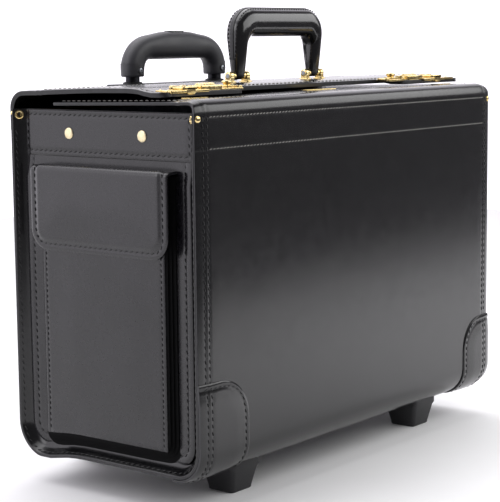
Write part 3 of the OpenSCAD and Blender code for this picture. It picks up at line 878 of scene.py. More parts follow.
top_path = trace(
    ((half_w + 0.4, 322), (half_w + 0.4, 341.5)), ((half_w - HINGE_BEND + 0.4, 341.5), HINGE_BEND, 0, 88),
    ((94, 357.5), (60, 358.9)), ((60, 358.9), (30, 360.1)), ((30, 360.1), (8, 360.8)),
    ((8, 360.8), (-10, 361.1)), ((-10, 361.1), (-34, 361.3)), ((-34, 361.3), (-44, 360.6)),
    ((-44, 360.6), (-52, 359)), ((-52, 359), (-58, 358)), ((-58, 358), (-73, 357.9)),
)
lid = over(top_path)


def lid_s(y):
    """The length along the outer flap's path at a place on the top."""
    return next(s for s, p in top_path if p[1] > 357 and p[0] <= y + 0.01)


def lid_relief(x, s):
    """The outer flap: pinched along its edge seams and full between them."""
    y = along(top_path, s)[0]
    h = dent(abs(x) - 232, 0.45) - 0.6 * ease(abs(x), 235, 238.5)
    if s > 40:
        h += dent(y - 78, 0.5) + dent(y - 72, 0.5)
        h += 0.9 * max(0, 1 - (x / 232) ** 2) * ease(y, -40, 0) * ease(70 - y, 0, 30) * (
            1 - ease(20 - abs(abs(x) - 59.5), 0, 6)
        )
    if abs(x) < 127:
        h += dent(y + 45, 0.4)
    return h


class CASE_OT_outer_flap(bpy.types.Operator):
    """The outer flap, which bends up from the back wall and carries the locks and the carry handle"""

    bl_idname = "case.outer_flap"
    bl_label = "Outer flap"

    def execute(self, context):
        end = top_path[-1][0]
        front = lid_s(-50)
        xs = ticks(-238, 238, 13, (-232, 232), (-127, 127, -120, 120, -134, 134))
        rows = ticks(0, 20, 5)[:-1] + ticks(20, 46, 2.5)[:-1]
        rows += ticks(46, end, 7, (lid_s(78), lid_s(72), lid_s(-45)), (front, end - 1, end - 3, end - 6))

        def keep(x, s):
            return s < front or abs(x) > 127

        def shape(x, s):
            t = end - s
            if t >= 9 or abs(x) < 126.9:
                return x
            cut = 9 - math.sqrt(81 - (9 - t) ** 2)
            side = math.copysign(1, x)
            return side * 182.5 + (x - side * 182.5) * (1 - cut / 55.5)

        bend = ("case", "outer_top", (0, 112, 343), (0, 90, 358))
        sheet(
            "outer_flap_leather", lid, xs, rows, [FINISHES["calf"], FINISHES["edge"]], bend, 4, lid_relief,
            keep, shape, bevel=0.8, nodes=("outer_flap", "hinge_strip"), slot="polished_leather",
        )
        runs = [(lid, lid_relief, [(-230, lid_s(y)), (230, lid_s(y))]) for y in (78, 72)]
        runs += [(lid, lid_relief, [(side * 232, lid_s(70)), (side * 232, end - 8)]) for side in SIDES]
        runs.append((lid, lid_relief, [(-124, lid_s(-45)), (124, lid_s(-45))]))
        # These rows use the black thread coloured light grey as a painted highlight
        stitches("outer_flap_stitches", runs, FINISHES["pale_thread"], "outer_top")
        back = [(lid, lid_relief, [(-230, 6), (230, 6)])]
        stitches("hinge_stitches", back, FINISHES["thread"], "case")
        return {"FINISHED"}


class CASE_OT_pocket(bpy.types.Operator):
    """The end pocket: its front, pleated sides, folded top and flap"""

    bl_idname = "case.pocket"
    bl_label = "End pocket"

    def execute(self, context):
        low, high = cad("pocket_front")
        flap_low, flap_high = cad("pocket_flap")
        y, z0 = high[1], low[2]
        face = low[0]

        def front(u, v, h=0.0):
            return Vector((face - h, u, v))

        def front_relief(u, v):
            side = y - abs(u)
            edge = min(side, v - z0)
            return dent(side - 4, 0.5, 1.2) - 0.8 * (1 - ease(edge, 0, 2.5)) + 1.2 * ease(edge, 6, 45)

        us = ticks(-y, y, 8, (-y + 4, y - 4), (-y + 1, y - 1))
        vs = ticks(z0, 284, 9, (), (z0 + 0.6, z0 + 1.4, z0 + 2.6, z0 + 5))
        sheet(
            "pocket_front_leather", front, us, vs, [FINISHES["end_calf"], FINISHES["edge"]], "case", 2.2,
            front_relief, bevel=0.5, nodes=("pocket_front",), slot="polished_leather",
        )
        runs = [(front, front_relief, [(side * (y - 4), z0 + 3), (side * (y - 4), 284)]) for side in SIDES]
        stitches("pocket_stitches", runs, FINISHES["thread"], "case", pitch=4.8, slant=0.3)
        # The snap's socket, a rolled ring on the pocket's front
        low, high = cad("snap_socket")
        spot = (face - 1.0, (low[1] + high[1]) / 2, (low[2] + high[2]) / 2)
        ring = lathe(
            [(2.4, -1), (2.4, 0.4), (3.0, 0.9), (4.4, 0.8), (5.2, 0.4), (5.3, -1)], spot, (-1, 0, 0),
        )
        build("snap_socket_ring", *ring, [FINISHES["brass"]], "case", nodes=("snap_socket",), slot="brass")
        # Pleats: in and out between the pocket's front and the panel. Toward the panel they flare out past
        # the pocket's sides as painted shade: a near-black sheet where the recess beside the pocket lies in
        # shadow
        pleats = (
            (face + 1.6, -1.5), (face + 2.6, 1.2), (face + 4.0, -1.6), (face + 5.2, 3.4), (face + 6.4, 0.6),
            (face + 7.6, 6.2), (face + 8.6, 4.2), (face + 9.2, 11.5),
        )
        outline = corner_run([(-y, 288), (-y, z0), (y, z0), (y, 288)], 8)
        verts, faces = [], []
        for k, (a, b) in enumerate(outline):
            before, after = Vector(outline[max(k - 1, 0)]), Vector(outline[min(k + 1, len(outline) - 1)])
            go = (after - before).normalized()
            out = Vector((-go[1], go[0])) * -1
            verts += [(x, a + out[0] * lift, b + out[1] * lift) for x, lift in pleats]
        n = len(pleats)
        for k in range(len(outline) - 1):
            faces += [(k * n + i, k * n + i + 1, k * n + n + i + 1, k * n + n + i) for i in range(n - 1)]
        # The pleats take the near-black painted shade finish
        build("pocket_pleats", verts, faces, [FINISHES["bellows"], FINISHES["bellows"]], "case",
              nodes=("pocket_gusset",), slot="polished_leather", thick=0.7, open_sheet=True, smooth=70)
        # The flap comes off the panel, folds over a roll and hangs
        wide, drop, top, r = flap_high[1], flap_low[2], flap_high[2], 19
        fold = trace(
            ((-230.4, top), (-239.5, top)), ((-239.5, top - 5), 5.0, 90, 180),
            ((-244.5, top - 5), (-244.5, drop)),
        )
        total = fold[-1][0]

        def flap(u, s, h=0.0):
            a, b = along(fold, s)
            na, nb = facing(fold, s)
            return Vector((a + na * h, u, b + nb * h))

        def flap_relief(u, s):
            d = inset_of(u, s, (-wide, -900), (wide, total), r)
            h = dent(d - 5.5, 0.4, 1.1) - 0.7 * (1 - ease(d, 0, 2)) + 1.2 * ease(d, 6.3, 11)
            return h * ease(s, 3, 12) + 0.7 * ease(d, 10, 45) * ease(s, 12, 45)

        def shape(u, s):
            t = total - s
            return u * (1 - (r - math.sqrt(max(r * r - (r - t) ** 2, 0))) / wide) if t < r else u

        us = ticks(
            -wide, wide, 5, (-wide + 5.5, wide - 5.5, -wide + 9.5, wide - 9.5), (-wide + 1, wide - 1),
        )
        vs = ticks(0, 18, 1.6)[:-1] + ticks(
            18, total, 3.2, (total - 5.5, total - 9.5), (total - 0.5, total - 1.3, total - 2.4),
        )
        bend = ("case", "end_pocket_flap", (-237, 0, 292), (-243, 0, 285))
        sheet(
            "pocket_flap_leather", flap, us, vs, [FINISHES["end_calf"], FINISHES["edge"]], bend, 2.6,
            flap_relief, shape=shape, bevel=0.6, nodes=("pocket_flap", "pocket_fold"),
            slot="polished_leather",
        )
        line = corner_run(
            [(-wide + 5.5, 12), (-wide + 5.5, total - 5.5), (wide - 5.5, total - 5.5), (wide - 5.5, 12)],
            r - 5.5,
        )
        stitches(
            "pocket_flap_stitches", [(flap, flap_relief, line)], FINISHES["thread"], "end_pocket_flap",
            slant=0.3,
        )
        return {"FINISHED"}


class CASE_OT_rivets(bpy.types.Operator):
    """The domed brass rivets of the ends and rims"""

    bl_idname = "case.rivets"
    bl_label = "Rivets"

    def execute(self, context):
        def dome(r, tall):
            turns = [math.pi / 2 * i / 6 for i in range(7)]
            return [(r, -0.6), (r, 0.25)] + [
                (r * 0.96 * math.cos(t), 0.35 + tall * math.sin(t)) for t in turns
            ]

        forms = [
            lathe(dome(5.0, 0.8), (side * (panel_x + 2.0), y, wall_top - 20.5), (side, 0, 0))
            for side in SIDES
            for y in (-43, 43)
        ]
        build("band_rivet_heads", *together(*forms), [FINISHES["pale_brass"]], "case", slot="brass")
        forms = []
        for side in SIDES:
            for face in SIDES:
                spot = (side * (half_l - 3.6), face * (half_w - 1.6), wall_top - 4.5)
                forms.append(lathe(dome(2.9, 1.0), spot, (side * 0.25, face, 0)))
                # Inside the rim the rivet is a rolled tube, open in the middle
                inside = (side * (half_l - 4.5), face * (half_w - 9.2), wall_top - 5)
                forms.append(
                    lathe(
                        [
                            (4.0, -2), (4.1, 0.3), (3.8, 0.9), (3.1, 1.2), (2.4, 1.0), (2.0, 0.4),
                            (1.8, -1.2),
                        ],
                        inside, (side * 0.75, -face * 0.66, 0),
                    )
                )
        build(
            "rivet_heads", *together(*forms), [FINISHES["brass"]], "case", nodes=("brass_rivets",),
            slot="brass",
        )
        return {"FINISHED"}


LOCKS = ((-1, 128, 230, 205, 173, 143), (1, 104, 222, 190, 153, 119))
PLATE_Z = cad("lock_plates")[0][2]
DIAL_Y = (cad("left_dial_1")[0][1] + cad("left_dial_1")[1][1]) / 2
DIAL_Z = (cad("left_dial_1")[0][2] + cad("left_dial_1")[1][2]) / 2


class CASE_OT_locks(bpy.types.Operator):
    """The two combination locks: plates with raised dial housings, hasps and sliding buttons"""

    bl_idname = "case.locks"
    bl_label = "Locks"

    def execute(self, context):
        brass = [FINISHES["brass"]]
        plates = []
        for side, near, far, hasp_x, dial_x, button_x in LOCKS:
            x0, x1 = sorted((side * near, side * far))
            mid = side * dial_x
            # The plate is open under the dials, and bars stand between them
            for low_x, high_x, low_y, high_y, radii, top in (
                (x0, mid - 11, -72, -56, (2.5, 0, 0, 2.5), 1.2),
                (mid + 11, x1, -72, -56, (0, 2.5, 2.5, 0), 1.2),
                (mid - 14, mid + 14, -72, -69, (1,) * 4, 4.2),
                (mid - 14, mid + 14, -59, -56, (1,) * 4, 4.2),
                (mid - 14, mid - 10.6, -70, -58, (0,) * 4, 4.2),
                (mid - 4.2, mid - 3.2, -70, -58, (0,) * 4, 4.0),
                (mid + 3.2, mid + 4.2, -70, -58, (0,) * 4, 4.0),
                (mid + 10.6, mid + 14, -70, -58, (0,) * 4, 4.2),
            ):
                plates.append(
                    slab(rounded((low_x, low_y), (high_x, high_y), radii), PLATE_Z - 0.6, PLATE_Z + top)
                )
            lip = sorted((side * far, side * (hasp_x - 25)))
            plates.append(
                slab(
                    rounded((lip[0], -75.6), (lip[1], -71), (1.5, 1.5, 0, 0)), PLATE_Z - 1.2, PLATE_Z + 1.1,
                )
            )
            trim = sorted((side * (button_x - 9), side * (near - 1)))
            plates.append(slab(rounded((trim[0], -70), (trim[1], -58), (2,) * 4), PLATE_Z, PLATE_Z + 2.6))
            for x in (x0 + 4, x1 - 4, side * (hasp_x + dial_x) / 2):
                for y in (-68.5, -59.5):
                    plates.append(
                        lathe(
                            [(1.5, 0), (1.4, 0.35), (0.9, 0.6), (0.1, 0.7)], (x, y, PLATE_Z + 1.2),
                            (0, 0, 1), 16,
                        )
                    )
        build(
            "lock_plate_brass", *together(*plates), brass, "outer_top", nodes=("lock_plates",),
            slot="brass", bevel=0.25,
        )
        # A blank name plate on the inner flap, between the locks
        s = flap_tip + 60
        plate = slab(
            rounded((-24, s - 4.5), (24, s + 4.5), (1.5,) * 4), -0.4, 0.7, lambda a, b,
            c: body(a, b, body_relief(a, b) + c),
        )
        build(
            "blank_name_plate", *plate, brass, "inner_top", nodes=("name_plate",), slot="brass", bevel=0.2,
        )
        for label, lock in zip(("left", "right"), LOCKS):
            side, near, far, hasp_x, dial_x, button_x = lock
            x = side * hasp_x
            top = PLATE_Z + 1.5
            loop = slab(rounded((x - 9.5, -76), (x + 9.5, -60), (3, 3, 1, 1)), top, top + 2.4)
            hole = tool(*slab(rounded((x - 5, -72), (x + 5, -65), (1,) * 4), top - 3, top + 6))
            build(
                f"{label}_hasp_loop", *loop, brass, f"{label}_lock_hasp", slot="brass", bevel=0.5,
                cutters=[hole], nodes=(f"{label}_hasp",),
            )
            forms = [slab(rounded((x - 5.5, 355.4), (x + 5.5, top + 2), (2, 2, 0.5, 0.5)), -76, -74.6,
                          lambda a, b, c: (a, c, b))]
            forms.append(lathe([(2.3, -9.5), (2.3, -3.2), (1.9, -3.1), (1.9, 3.1), (2.3, 3.2), (2.3, 9.5)],
                               (x, -61, top + 1.2), (1, 0, 0), 20))
            build(
                f"{label}_hasp_hook", *together(*forms), brass, f"{label}_lock_hasp", slot="brass",
                bevel=0.4,
            )
            x = side * button_x
            forms = [slab(rounded((x - 5, -69), (x + 5, -59), (1.5,) * 4), PLATE_Z + 1.5, PLATE_Z + 3.4)]
            forms.append(
                lathe(
                    [(3.2, 0), (3.4, 1.2), (4.5, 2), (4.6, 3.2), (4.2, 4), (2.8, 4.3), (1, 4.1), (0.1, 4)],
                    (x, -64, PLATE_Z + 3.2), (0, 0, 1), 28,
                )
            )
            build(
                f"{label}_slide_button", *together(*forms), brass, f"{label}_lock_button", slot="brass",
                bevel=0.3, nodes=(f"{label}_latch_button",),
            )
        return {"FINISHED"}


class CASE_OT_dials(bpy.types.Operator):
    """The six number wheels, each with the digits 0 to 9 round it"""

    bl_idname = "case.dials"
    bl_label = "Dials"

    def execute(self, context):
        for label, (side, _, _, _, dial_x, _) in zip(("left", "right"), LOCKS):
            for step in (1, 2, 3):
                x = side * dial_x + (step - 2) * 7.4
                rings = []
                for far, deep in ((-2.7, 0.9), (-2.3, 0.15), (2.3, 0.15), (2.7, 0.9)):
                    points = []
                    for i in range(80):
                        turn = 2 * math.pi * i / 80
                        # Ten shallow notches for the finger, between the numbers
                        notch = 0.35 * max(0, math.cos(10 * turn)) ** 6
                        r = 4.5 - deep - notch
                        points.append((x + far, DIAL_Y + r * math.sin(turn), DIAL_Z + r * math.cos(turn)))
                    rings.append(points)
                name = f"{label}_number_wheel_{step}"
                build(name, *loft(rings), [FINISHES["dial_brass"]], f"{label}_number_{step}", slot="brass",
                      nodes=(f"{label}_dial_{step}",), smooth=30)
                self.number(f"{label}_numbers_{step}", x, f"{label}_number_{step}", (side > 0) * 4 + step)
        return {"FINISHED"}

    def number(self, name, x, body, first):
        verts, faces = [], []
        for digit in range(10):
            curve = bpy.data.curves.new("digit", "FONT")
            curve.body = str((digit + first) % 10)
            curve.size = 3.4
            curve.align_x, curve.align_y = "CENTER", "CENTER"
            curve.resolution_u = 2
            obj = bpy.data.objects.new("digit", curve)
            mesh = obj.to_mesh()
            turn = 2 * math.pi * (digit + 0.5) / 10
            base = len(verts)
            for v in mesh.vertices:
                lean = turn + v.co.y / 4.4
                r = 4.42
                verts.append((x + v.co.x, DIAL_Y + r * math.sin(lean), DIAL_Z + r * math.cos(lean)))
            faces += [tuple(base + k for k in p.vertices) for p in mesh.polygons]
            obj.to_mesh_clear()
            bpy.data.objects.remove(obj)
        build(name, verts, faces, [FINISHES["enamel"]], body, slot="brass", open_sheet=True)


def oval(centre, across, deep, side, power=2.0, steps=32):
    """A rounded section round a point of a handle: half widths across its plane and along y."""
    points = []
    for i in range(steps):
        turn = 2 * math.pi * i / steps
        c, s = math.cos(turn), math.sin(turn)
        a = math.copysign(abs(c) ** (2 / power), c) * across
        b = math.copysign(abs(s) ** (2 / power), s) * deep
        points.append(Vector(centre) + side * a + Vector((0, b, 0)))
    return points


class CASE_OT_carry_handle(bpy.types.Operator):
    """The padded leather grip, sewn along its outer edge"""

    bl_idname = "case.carry_handle"
    bl_label = "Carry handle"

    def execute(self, context):
        low, high = cad("carry_handle")
        y = (low[1] + high[1]) / 2
        top, foot = high[2] + 0.3, cad("handle_feet")[0][2] + 0.5
        outer_x, inner_x = 67.8, 51.4
        outer = [
            (outer_x - 1.2 * (1 - ease(t, 0.1, 0.6)), foot + (top - 24 - foot) * t)
            for t in [i / 14 for i in range(14)]
        ]
        outer += [(outer_x - 24 + 24 * math.cos(t), top - 24 + 24 * math.sin(t)) for t in [0] + quarter(12)]
        inner_top = top - 26.8
        inner = [
            (inner_x + 0.8 * (1 - ease(t, 0.1, 0.6)), foot + (inner_top - 9 - foot) * t)
            for t in [i / 14 for i in range(14)]
        ]
        inner += [
            (inner_x - 9 + 9 * math.cos(t), inner_top - 9 + 9 * math.sin(t)) for t in [0] + quarter(12)
        ]
        for i in range(1, 9):
            t = i / 8
            outer.append(((outer_x - 24) * (1 - t), top))
            inner.append(((inner_x - 9) * (1 - t), inner_top))
        pairs = list(zip(outer, inner))
        pairs = [((-a[0], a[1]), (-b[0], b[1])) for a, b in pairs] + [(a, b) for a, b in pairs[-2::-1]]
        rings, frames = [], []
        for k, (a, b) in enumerate(pairs):
            o, i = Vector((a[0], y, a[1])), Vector((b[0], y, b[1]))
            mid, half = (o + i) / 2, (o - i) / 2
            up = mid[2] - foot
            deep = min(5.2 + 0.15 * max(up - 4, 0), 11.6)
            if up < 5:
                deep *= math.sqrt(max(1 - ((5 - up) / 5.2) ** 2, 0.05))
            side = half.normalized()
            rings.append(oval(mid, half.length, deep, side, 2.3))
            frames.append((mid, side, half.length, deep))
        grip = build(
            "handle_grip", *loft(rings), [FINISHES["grip_calf"]], "handle", nodes=("carry_handle",),
            slot="polished_leather", smooth=60,
        )
        # The sewn edge: the leather's two edges stand up along the outer line of the grip
        welt = []
        for mid, side, across, deep in frames[6:-6]:
            base = mid + side * (across - 0.8)
            welt.append(
                [
                    base + side * h + Vector((0, w, 0))
                    for h, w in (
                        (-1, -2.4), (1.0, -2.2), (1.5, -1.4), (1.1, 0), (1.5, 1.4), (1.0, 2.2), (-1, 2.4),
                    )
                ]
            )
        build("handle_welt", *loft(welt), [FINISHES["edge"]], "handle", slot="polished_leather", smooth=60)
        runs = []
        for face in SIDES:
            spots = [
                mid + side * (across * 0.93) + Vector((0, face * deep * 0.45, 0))
                for mid, side, across, deep in frames[6:-6]
            ]
            ups = [(side * 0.6 + Vector((0, face * 0.8, 0))).normalized() for _, side, _, _ in frames[6:-6]]

            def place(u, v, h=0.0, spots=spots, ups=ups):
                i = min(max(int(u), 0), len(spots) - 2)
                t = u - i
                return spots[i].lerp(spots[i + 1], t) + ups[i].lerp(ups[i + 1], t) * h

            path = [(k / 6, 0) for k in range(6 * (len(spots) - 1) + 1)]
            runs.append((place, None, path))
        stitches("handle_stitches", runs, FINISHES["thread"], "handle", pitch=3.8)
        return {"FINISHED"}


class CASE_OT_handle_mounts(bpy.types.Operator):
    """The brass barrels that carry the handle's legs"""

    bl_idname = "case.handle_mounts"
    bl_label = "Handle mounts"

    def execute(self, context):
        low, high = cad("handle_feet")
        y = (low[1] + high[1]) / 2
        pivot = low[2] + 4.2
        lugs, feet = [], []
        base = cad("handle_lugs")[0][2]
        for x0 in (-59.5, 59.5):
            for x in (-12, 12):
                lugs.append(
                    lathe(
                        [(3.4, -2.7), (4.0, -2.3), (4.0, 2.3), (3.4, 2.7)], (x0 + x, y, pivot), (1, 0, 0),
                        32,
                    )
                )
                lugs.append(
                    slab(
                        rounded((x0 + x - 2.5, y - 3.9), (x0 + x + 2.5, y + 3.9), (0.6,) * 4), base - 1,
                        pivot,
                    )
                )
                lugs.append(
                    slab(
                        rounded((x0 + x - 3.6, y - 6), (x0 + x + 3.6, y + 6), (2,) * 4), base - 1,
                        base + 0.8,
                    )
                )
            feet.append(
                lathe([(2.6, -9.3), (3.2, -8.6), (3.2, 8.6), (2.6, 9.3)], (x0, y, pivot), (1, 0, 0), 28)
            )
        build(
            "handle_lug_brass", *together(*lugs), [FINISHES["brass"]], "outer_top", nodes=("handle_lugs",),
            slot="brass", bevel=0.4,
        )
        build(
            "handle_foot_brass", *together(*feet), [FINISHES["brass"]], "handle", nodes=("handle_feet",),
            slot="brass", bevel=0.4,
        )
        return {"FINISHED"}


class CASE_OT_trolley_handle(bpy.types.Operator):
    """The moulded trolley handle with its release button and collars"""

    bl_idname = "case.trolley_handle"
    bl_label = "Trolley handle"

    def execute(self, context):
        low, high = cad("grip_collars")
        y = (low[1] + high[1]) / 2
        leg_x = (high[0] - low[0]) / 2 - (high[1] - low[1]) / 2
        r, bar_z, bend = 11.7, 393.3, 22
        part = cad("trolley_grip")[0][2]
        spots = []
        for i in range(4):
            spots.append((leg_x, part + (bar_z - bend - part) * i / 4, 0))
        for t in [0] + quarter(12):
            spots.append((leg_x - bend + bend * math.cos(t), bar_z - bend + bend * math.sin(t), t))
        for i in range(1, 15):
            spots.append(((leg_x - bend) * (1 - i / 14), bar_z, math.pi / 2))
        spots = [(-x, z, -t) for x, z, t in spots] + [(x, z, t) for x, z, t in spots[-2::-1]]
        rings = []
        for x, z, t in spots:
            side = Vector((math.copysign(math.cos(t), x if abs(x) > 1 else 1), 0, abs(math.sin(t))))
            points = oval((x, y, z), r, r - 0.4, side, 2.15)
            lift = 4.2 * (1 - ease(abs(x), 12, 52))
            rings.append(
                [p + Vector((0, 0, lift * (ease(p[2] - z, -2, r) if p[2] > z - 2 else 0))) for p in points]
            )
        build(
            "trolley_grip_moulding", *loft(rings), [FINISHES["abs"]], "trolley_handle",
            nodes=("trolley_grip",), slot="plastic", smooth=50,
        )
        button = slab(rounded((-12.5, y - 5.2), (12.5, y + 5.2), (5.1,) * 4), 398, 409.9)
        build(
            "release_button_cap", *button, [FINISHES["gloss_abs"]], "trolley_button",
            nodes=("release_button",), slot="plastic", bevel=1.1,
        )
        collars, screws = [], []
        for side in SIDES:
            spot = (side * leg_x, y, 0)
            collars.append(
                lathe(
                    [
                        (7.2, 365), (10.6, 365), (11.3, 365.8), (11.6, 367), (11.6, 377.2), (11.2, 377.7),
                        (9, 377.8),
                    ],
                    spot, (0, 0, 1), 48,
                )
            )
            ring = (side * leg_x, y, low[2] + 6.5)
            collars.append(
                lathe(
                    [(3.9, 10.8), (3.9, 12.0), (3.5, 12.4), (2.7, 12.3), (2.6, 11.6)], ring, (0, -1, 0), 28,
                )
            )
            screws.append(
                lathe(
                    [(2.5, 11.0), (2.5, 11.7), (2.1, 12.0), (0.9, 12.1), (0.8, 11.6), (0.1, 11.6)], ring,
                    (0, -1, 0), 24,
                )
            )
        build(
            "collar_mouldings", *together(*collars), [FINISHES["abs"]], "trolley_handle",
            nodes=("grip_collars",), slot="plastic", smooth=35,
        )
        build(
            "collar_screws", *together(*screws), [FINISHES["steel"]], "trolley_handle",
            nodes=("grip_screws",), slot="steel", smooth=35,
        )
        rings = []
        for side in SIDES:
            rings.append(
                lathe(
                    [(9.7, 356.2), (9.7, 359.2), (9.0, 359.8), (8.0, 360.0), (7.8, 359.0)],
                    (side * leg_x, y, 0), (0, 0, 1), 48,
                )
            )
        build(
            "tube_ring_mouldings", *together(*rings), [FINISHES["polypropylene"]], "trolley",
            nodes=("tube_rings",), slot="plastic", smooth=35,
        )
        return {"FINISHED"}


class CASE_OT_trolley_cover(bpy.types.Operator):
    """The moulded cover on the back wall, and the plate that the tubes come through"""

    bl_idname = "case.trolley_cover"
    bl_label = "Trolley cover"

    def execute(self, context):
        low, high = cad("trolley_cover")
        wide, back = high[0], high[1]
        cover = slab(rounded((-wide, half_w - 0.5), (wide, back), (0, 0, 9, 9), 8), low[2], high[2] - 1)
        build(
            "cover_moulding", *cover, [FINISHES["abs"]], "case", nodes=("trolley_cover",), slot="plastic",
            bevel=2.2,
        )
        ribs = []
        for x in (-36, -18, 0, 18, 36):
            ribs.append(
                slab(
                    rounded((x - 3, 96), (x + 3, 306), (2.9,) * 4), back - 1, back + 0.9, lambda a, b,
                    c: (a, c, b),
                )
            )
        build("cover_ribs", *together(*ribs), [FINISHES["abs"]], "case", slot="plastic", bevel=0.6)
        low, high = cad("trolley_bezel")
        wide = high[0]
        plate = slab(rounded((-wide, low[1]), (wide, high[1]), (1, 1, 6, 6), 8), low[2], high[2])
        bore = [(10.1, 340), (10.1, 370)]
        holes = [tool(*lathe(bore, (side * TUBE_X, TUBE_Y, 0), (0, 0, 1), 40)) for side in SIDES]
        build(
            "tube_plate", *plate, [FINISHES["abs"]], "case", nodes=("trolley_bezel",), slot="plastic",
            bevel=0.7, cutters=holes,
        )
        return {"FINISHED"}


class CASE_OT_feet(bpy.types.Operator):
    """The two moulded front feet"""

    bl_idname = "case.feet"
    bl_label = "Feet"

    def execute(self, context):
        low, high = cad("front_feet")
        y = (low[1] + high[1]) / 2
        forms = []
        for side in SIDES:
            x = side * (high[0] - (high[1] - low[1]) / 2)
            rings = []
            for z, half, r in (
                (0, 13.6, 3.2), (0.9, 14.5, 3.6), (3, 14.8, 4), (20, 18.6, 4.4), (22.5, 20, 4.6),
                (28.4, 20, 4.6),
            ):
                rings.append(
                    [(a, b, z) for a, b in rounded((x - half, y - half), (x + half, y + half), (r,) * 4)]
                )
            forms.append(loft(rings))
        build(
            "foot_mouldings", *together(*forms), [FINISHES["polypropylene"]], "case", nodes=("front_feet",),
            slot="plastic", smooth=30,
        )
        return {"FINISHED"}


class CASE_OT_wheels(bpy.types.Operator):
    """The wheels: rubber tyres with tread grooves on spoked hubs"""

    bl_idname = "case.wheels"
    bl_label = "Wheels"

    def execute(self, context):
        for label in ("left", "right"):
            low, high = cad(f"{label}_tyre")
            centre = [(a + b) / 2 for a, b in zip(low, high)]
            r = (high[2] - low[2]) / 2
            half = (high[0] - low[0]) / 2
            profile = [(r - 7, -half), (r - 3, -half), (r - 0.9, -half + 0.9), (r, -half + 3)]
            for x in (-4, 0, 4):
                profile += [(r, x - 0.9), (r - 1, x - 0.6), (r - 1, x + 0.6), (r, x + 0.9)]
            profile += [(r, half - 3), (r - 0.9, half - 0.9), (r - 3, half), (r - 7, half)]
            build(
                f"{label}_tyre_tread", *lathe(profile, centre, (1, 0, 0), 64), [FINISHES["rubber"]],
                f"{label}_wheel", nodes=(f"{label}_tyre",), slot="tyre", smooth=30,
            )
            hub = [
                (3.3, -half - 0.5), (7, -half - 0.5), (7.6, -half), (8, -half + 3), (14.5, -half + 3.5),
                (15.4, -half + 0.4), (17.9, -half), (17.9, half), (15.4, half - 0.4), (14.5, half - 3.5),
                (8, half - 3), (7.6, half), (7, half + 0.5), (3.3, half + 0.5),
            ]
            spokes = []
            for k in range(5):
                turn = 2 * math.pi * k / 5
                go = Vector((0, math.cos(turn), math.sin(turn)))
                out = Vector((0, -math.sin(turn), math.cos(turn)))
                for face in SIDES:
                    x = face * (half - 1.6)
                    rib = ((-1.6, -2), (1.6, -2), (1.2, 0.6), (-1.2, 0.6))
                    rows = [
                        [Vector(centre) + go * d + out * w + Vector((x + face * t, 0, 0)) for w, t in rib]
                        for d in (6.5, 15.5)
                    ]
                    spokes.append(loft(rows))
            build(
                f"{label}_hub_moulding", *together(lathe(hub, centre, (1, 0, 0), 48), *spokes),
                [FINISHES["polypropylene"]], f"{label}_wheel", nodes=(f"{label}_wheel_hub",),
                slot="plastic", smooth=30,
            )
        return {"FINISHED"}


class CASE_OT_interior(bpy.types.Operator):
    """The padded divider, and the finishes of the parts that stay as the frame has them"""

    bl_idname = "case.interior"
    bl_label = "Interior and carried parts"

    def execute(self, context):
        low, high = cad("divider")
        y = (low[1] + high[1]) / 2
        zs = ticks(low[2], high[2], 16, exact=(low[2] + 2, low[2] + 6, high[2] - 2, high[2] - 6))
        # Half thicknesses along the pad, which thins toward its bound edges
        left = [(low[0], 0.8), (low[0] + 2, 1.8), (low[0] + 8, 2.3)]
        middle_part = [(low[0] + 8 + (high[0] - low[0] - 16) * i / 30, 3.0) for i in range(1, 30)]
        right = [(high[0] - 8, 2.3), (high[0] - 2, 1.8), (high[0], 0.8)]
        rings = []
        for z in zs:
            points = []
            for x, thick in left + middle_part + right:
                edge = ease(min(z - low[2], high[2] - z), -2, 7)
                quilt = 0.35 * abs(math.sin(math.pi * x / 60)) * abs(math.sin(math.pi * (z - 40) / 60))
                points.append((x, (thick - 0.35 + quilt) * (0.4 + 0.6 * edge), z))
            rings.append(
                [(x, y + t, z) for x, t, z in points] + [(x, y - t, z) for x, t, z in points[::-1]]
            )
        pad = build(
            "padded_divider", *loft(rings), [FINISHES["lining"]], "case", nodes=("divider",),
            slot="padding", smooth=60,
        )
        for finish, names in CARRIED.items():
            for name in names:
                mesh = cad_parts[name].data
                mesh.materials.clear()
                mesh.materials.append(FINISHES[finish])
        return {"FINISHED"}


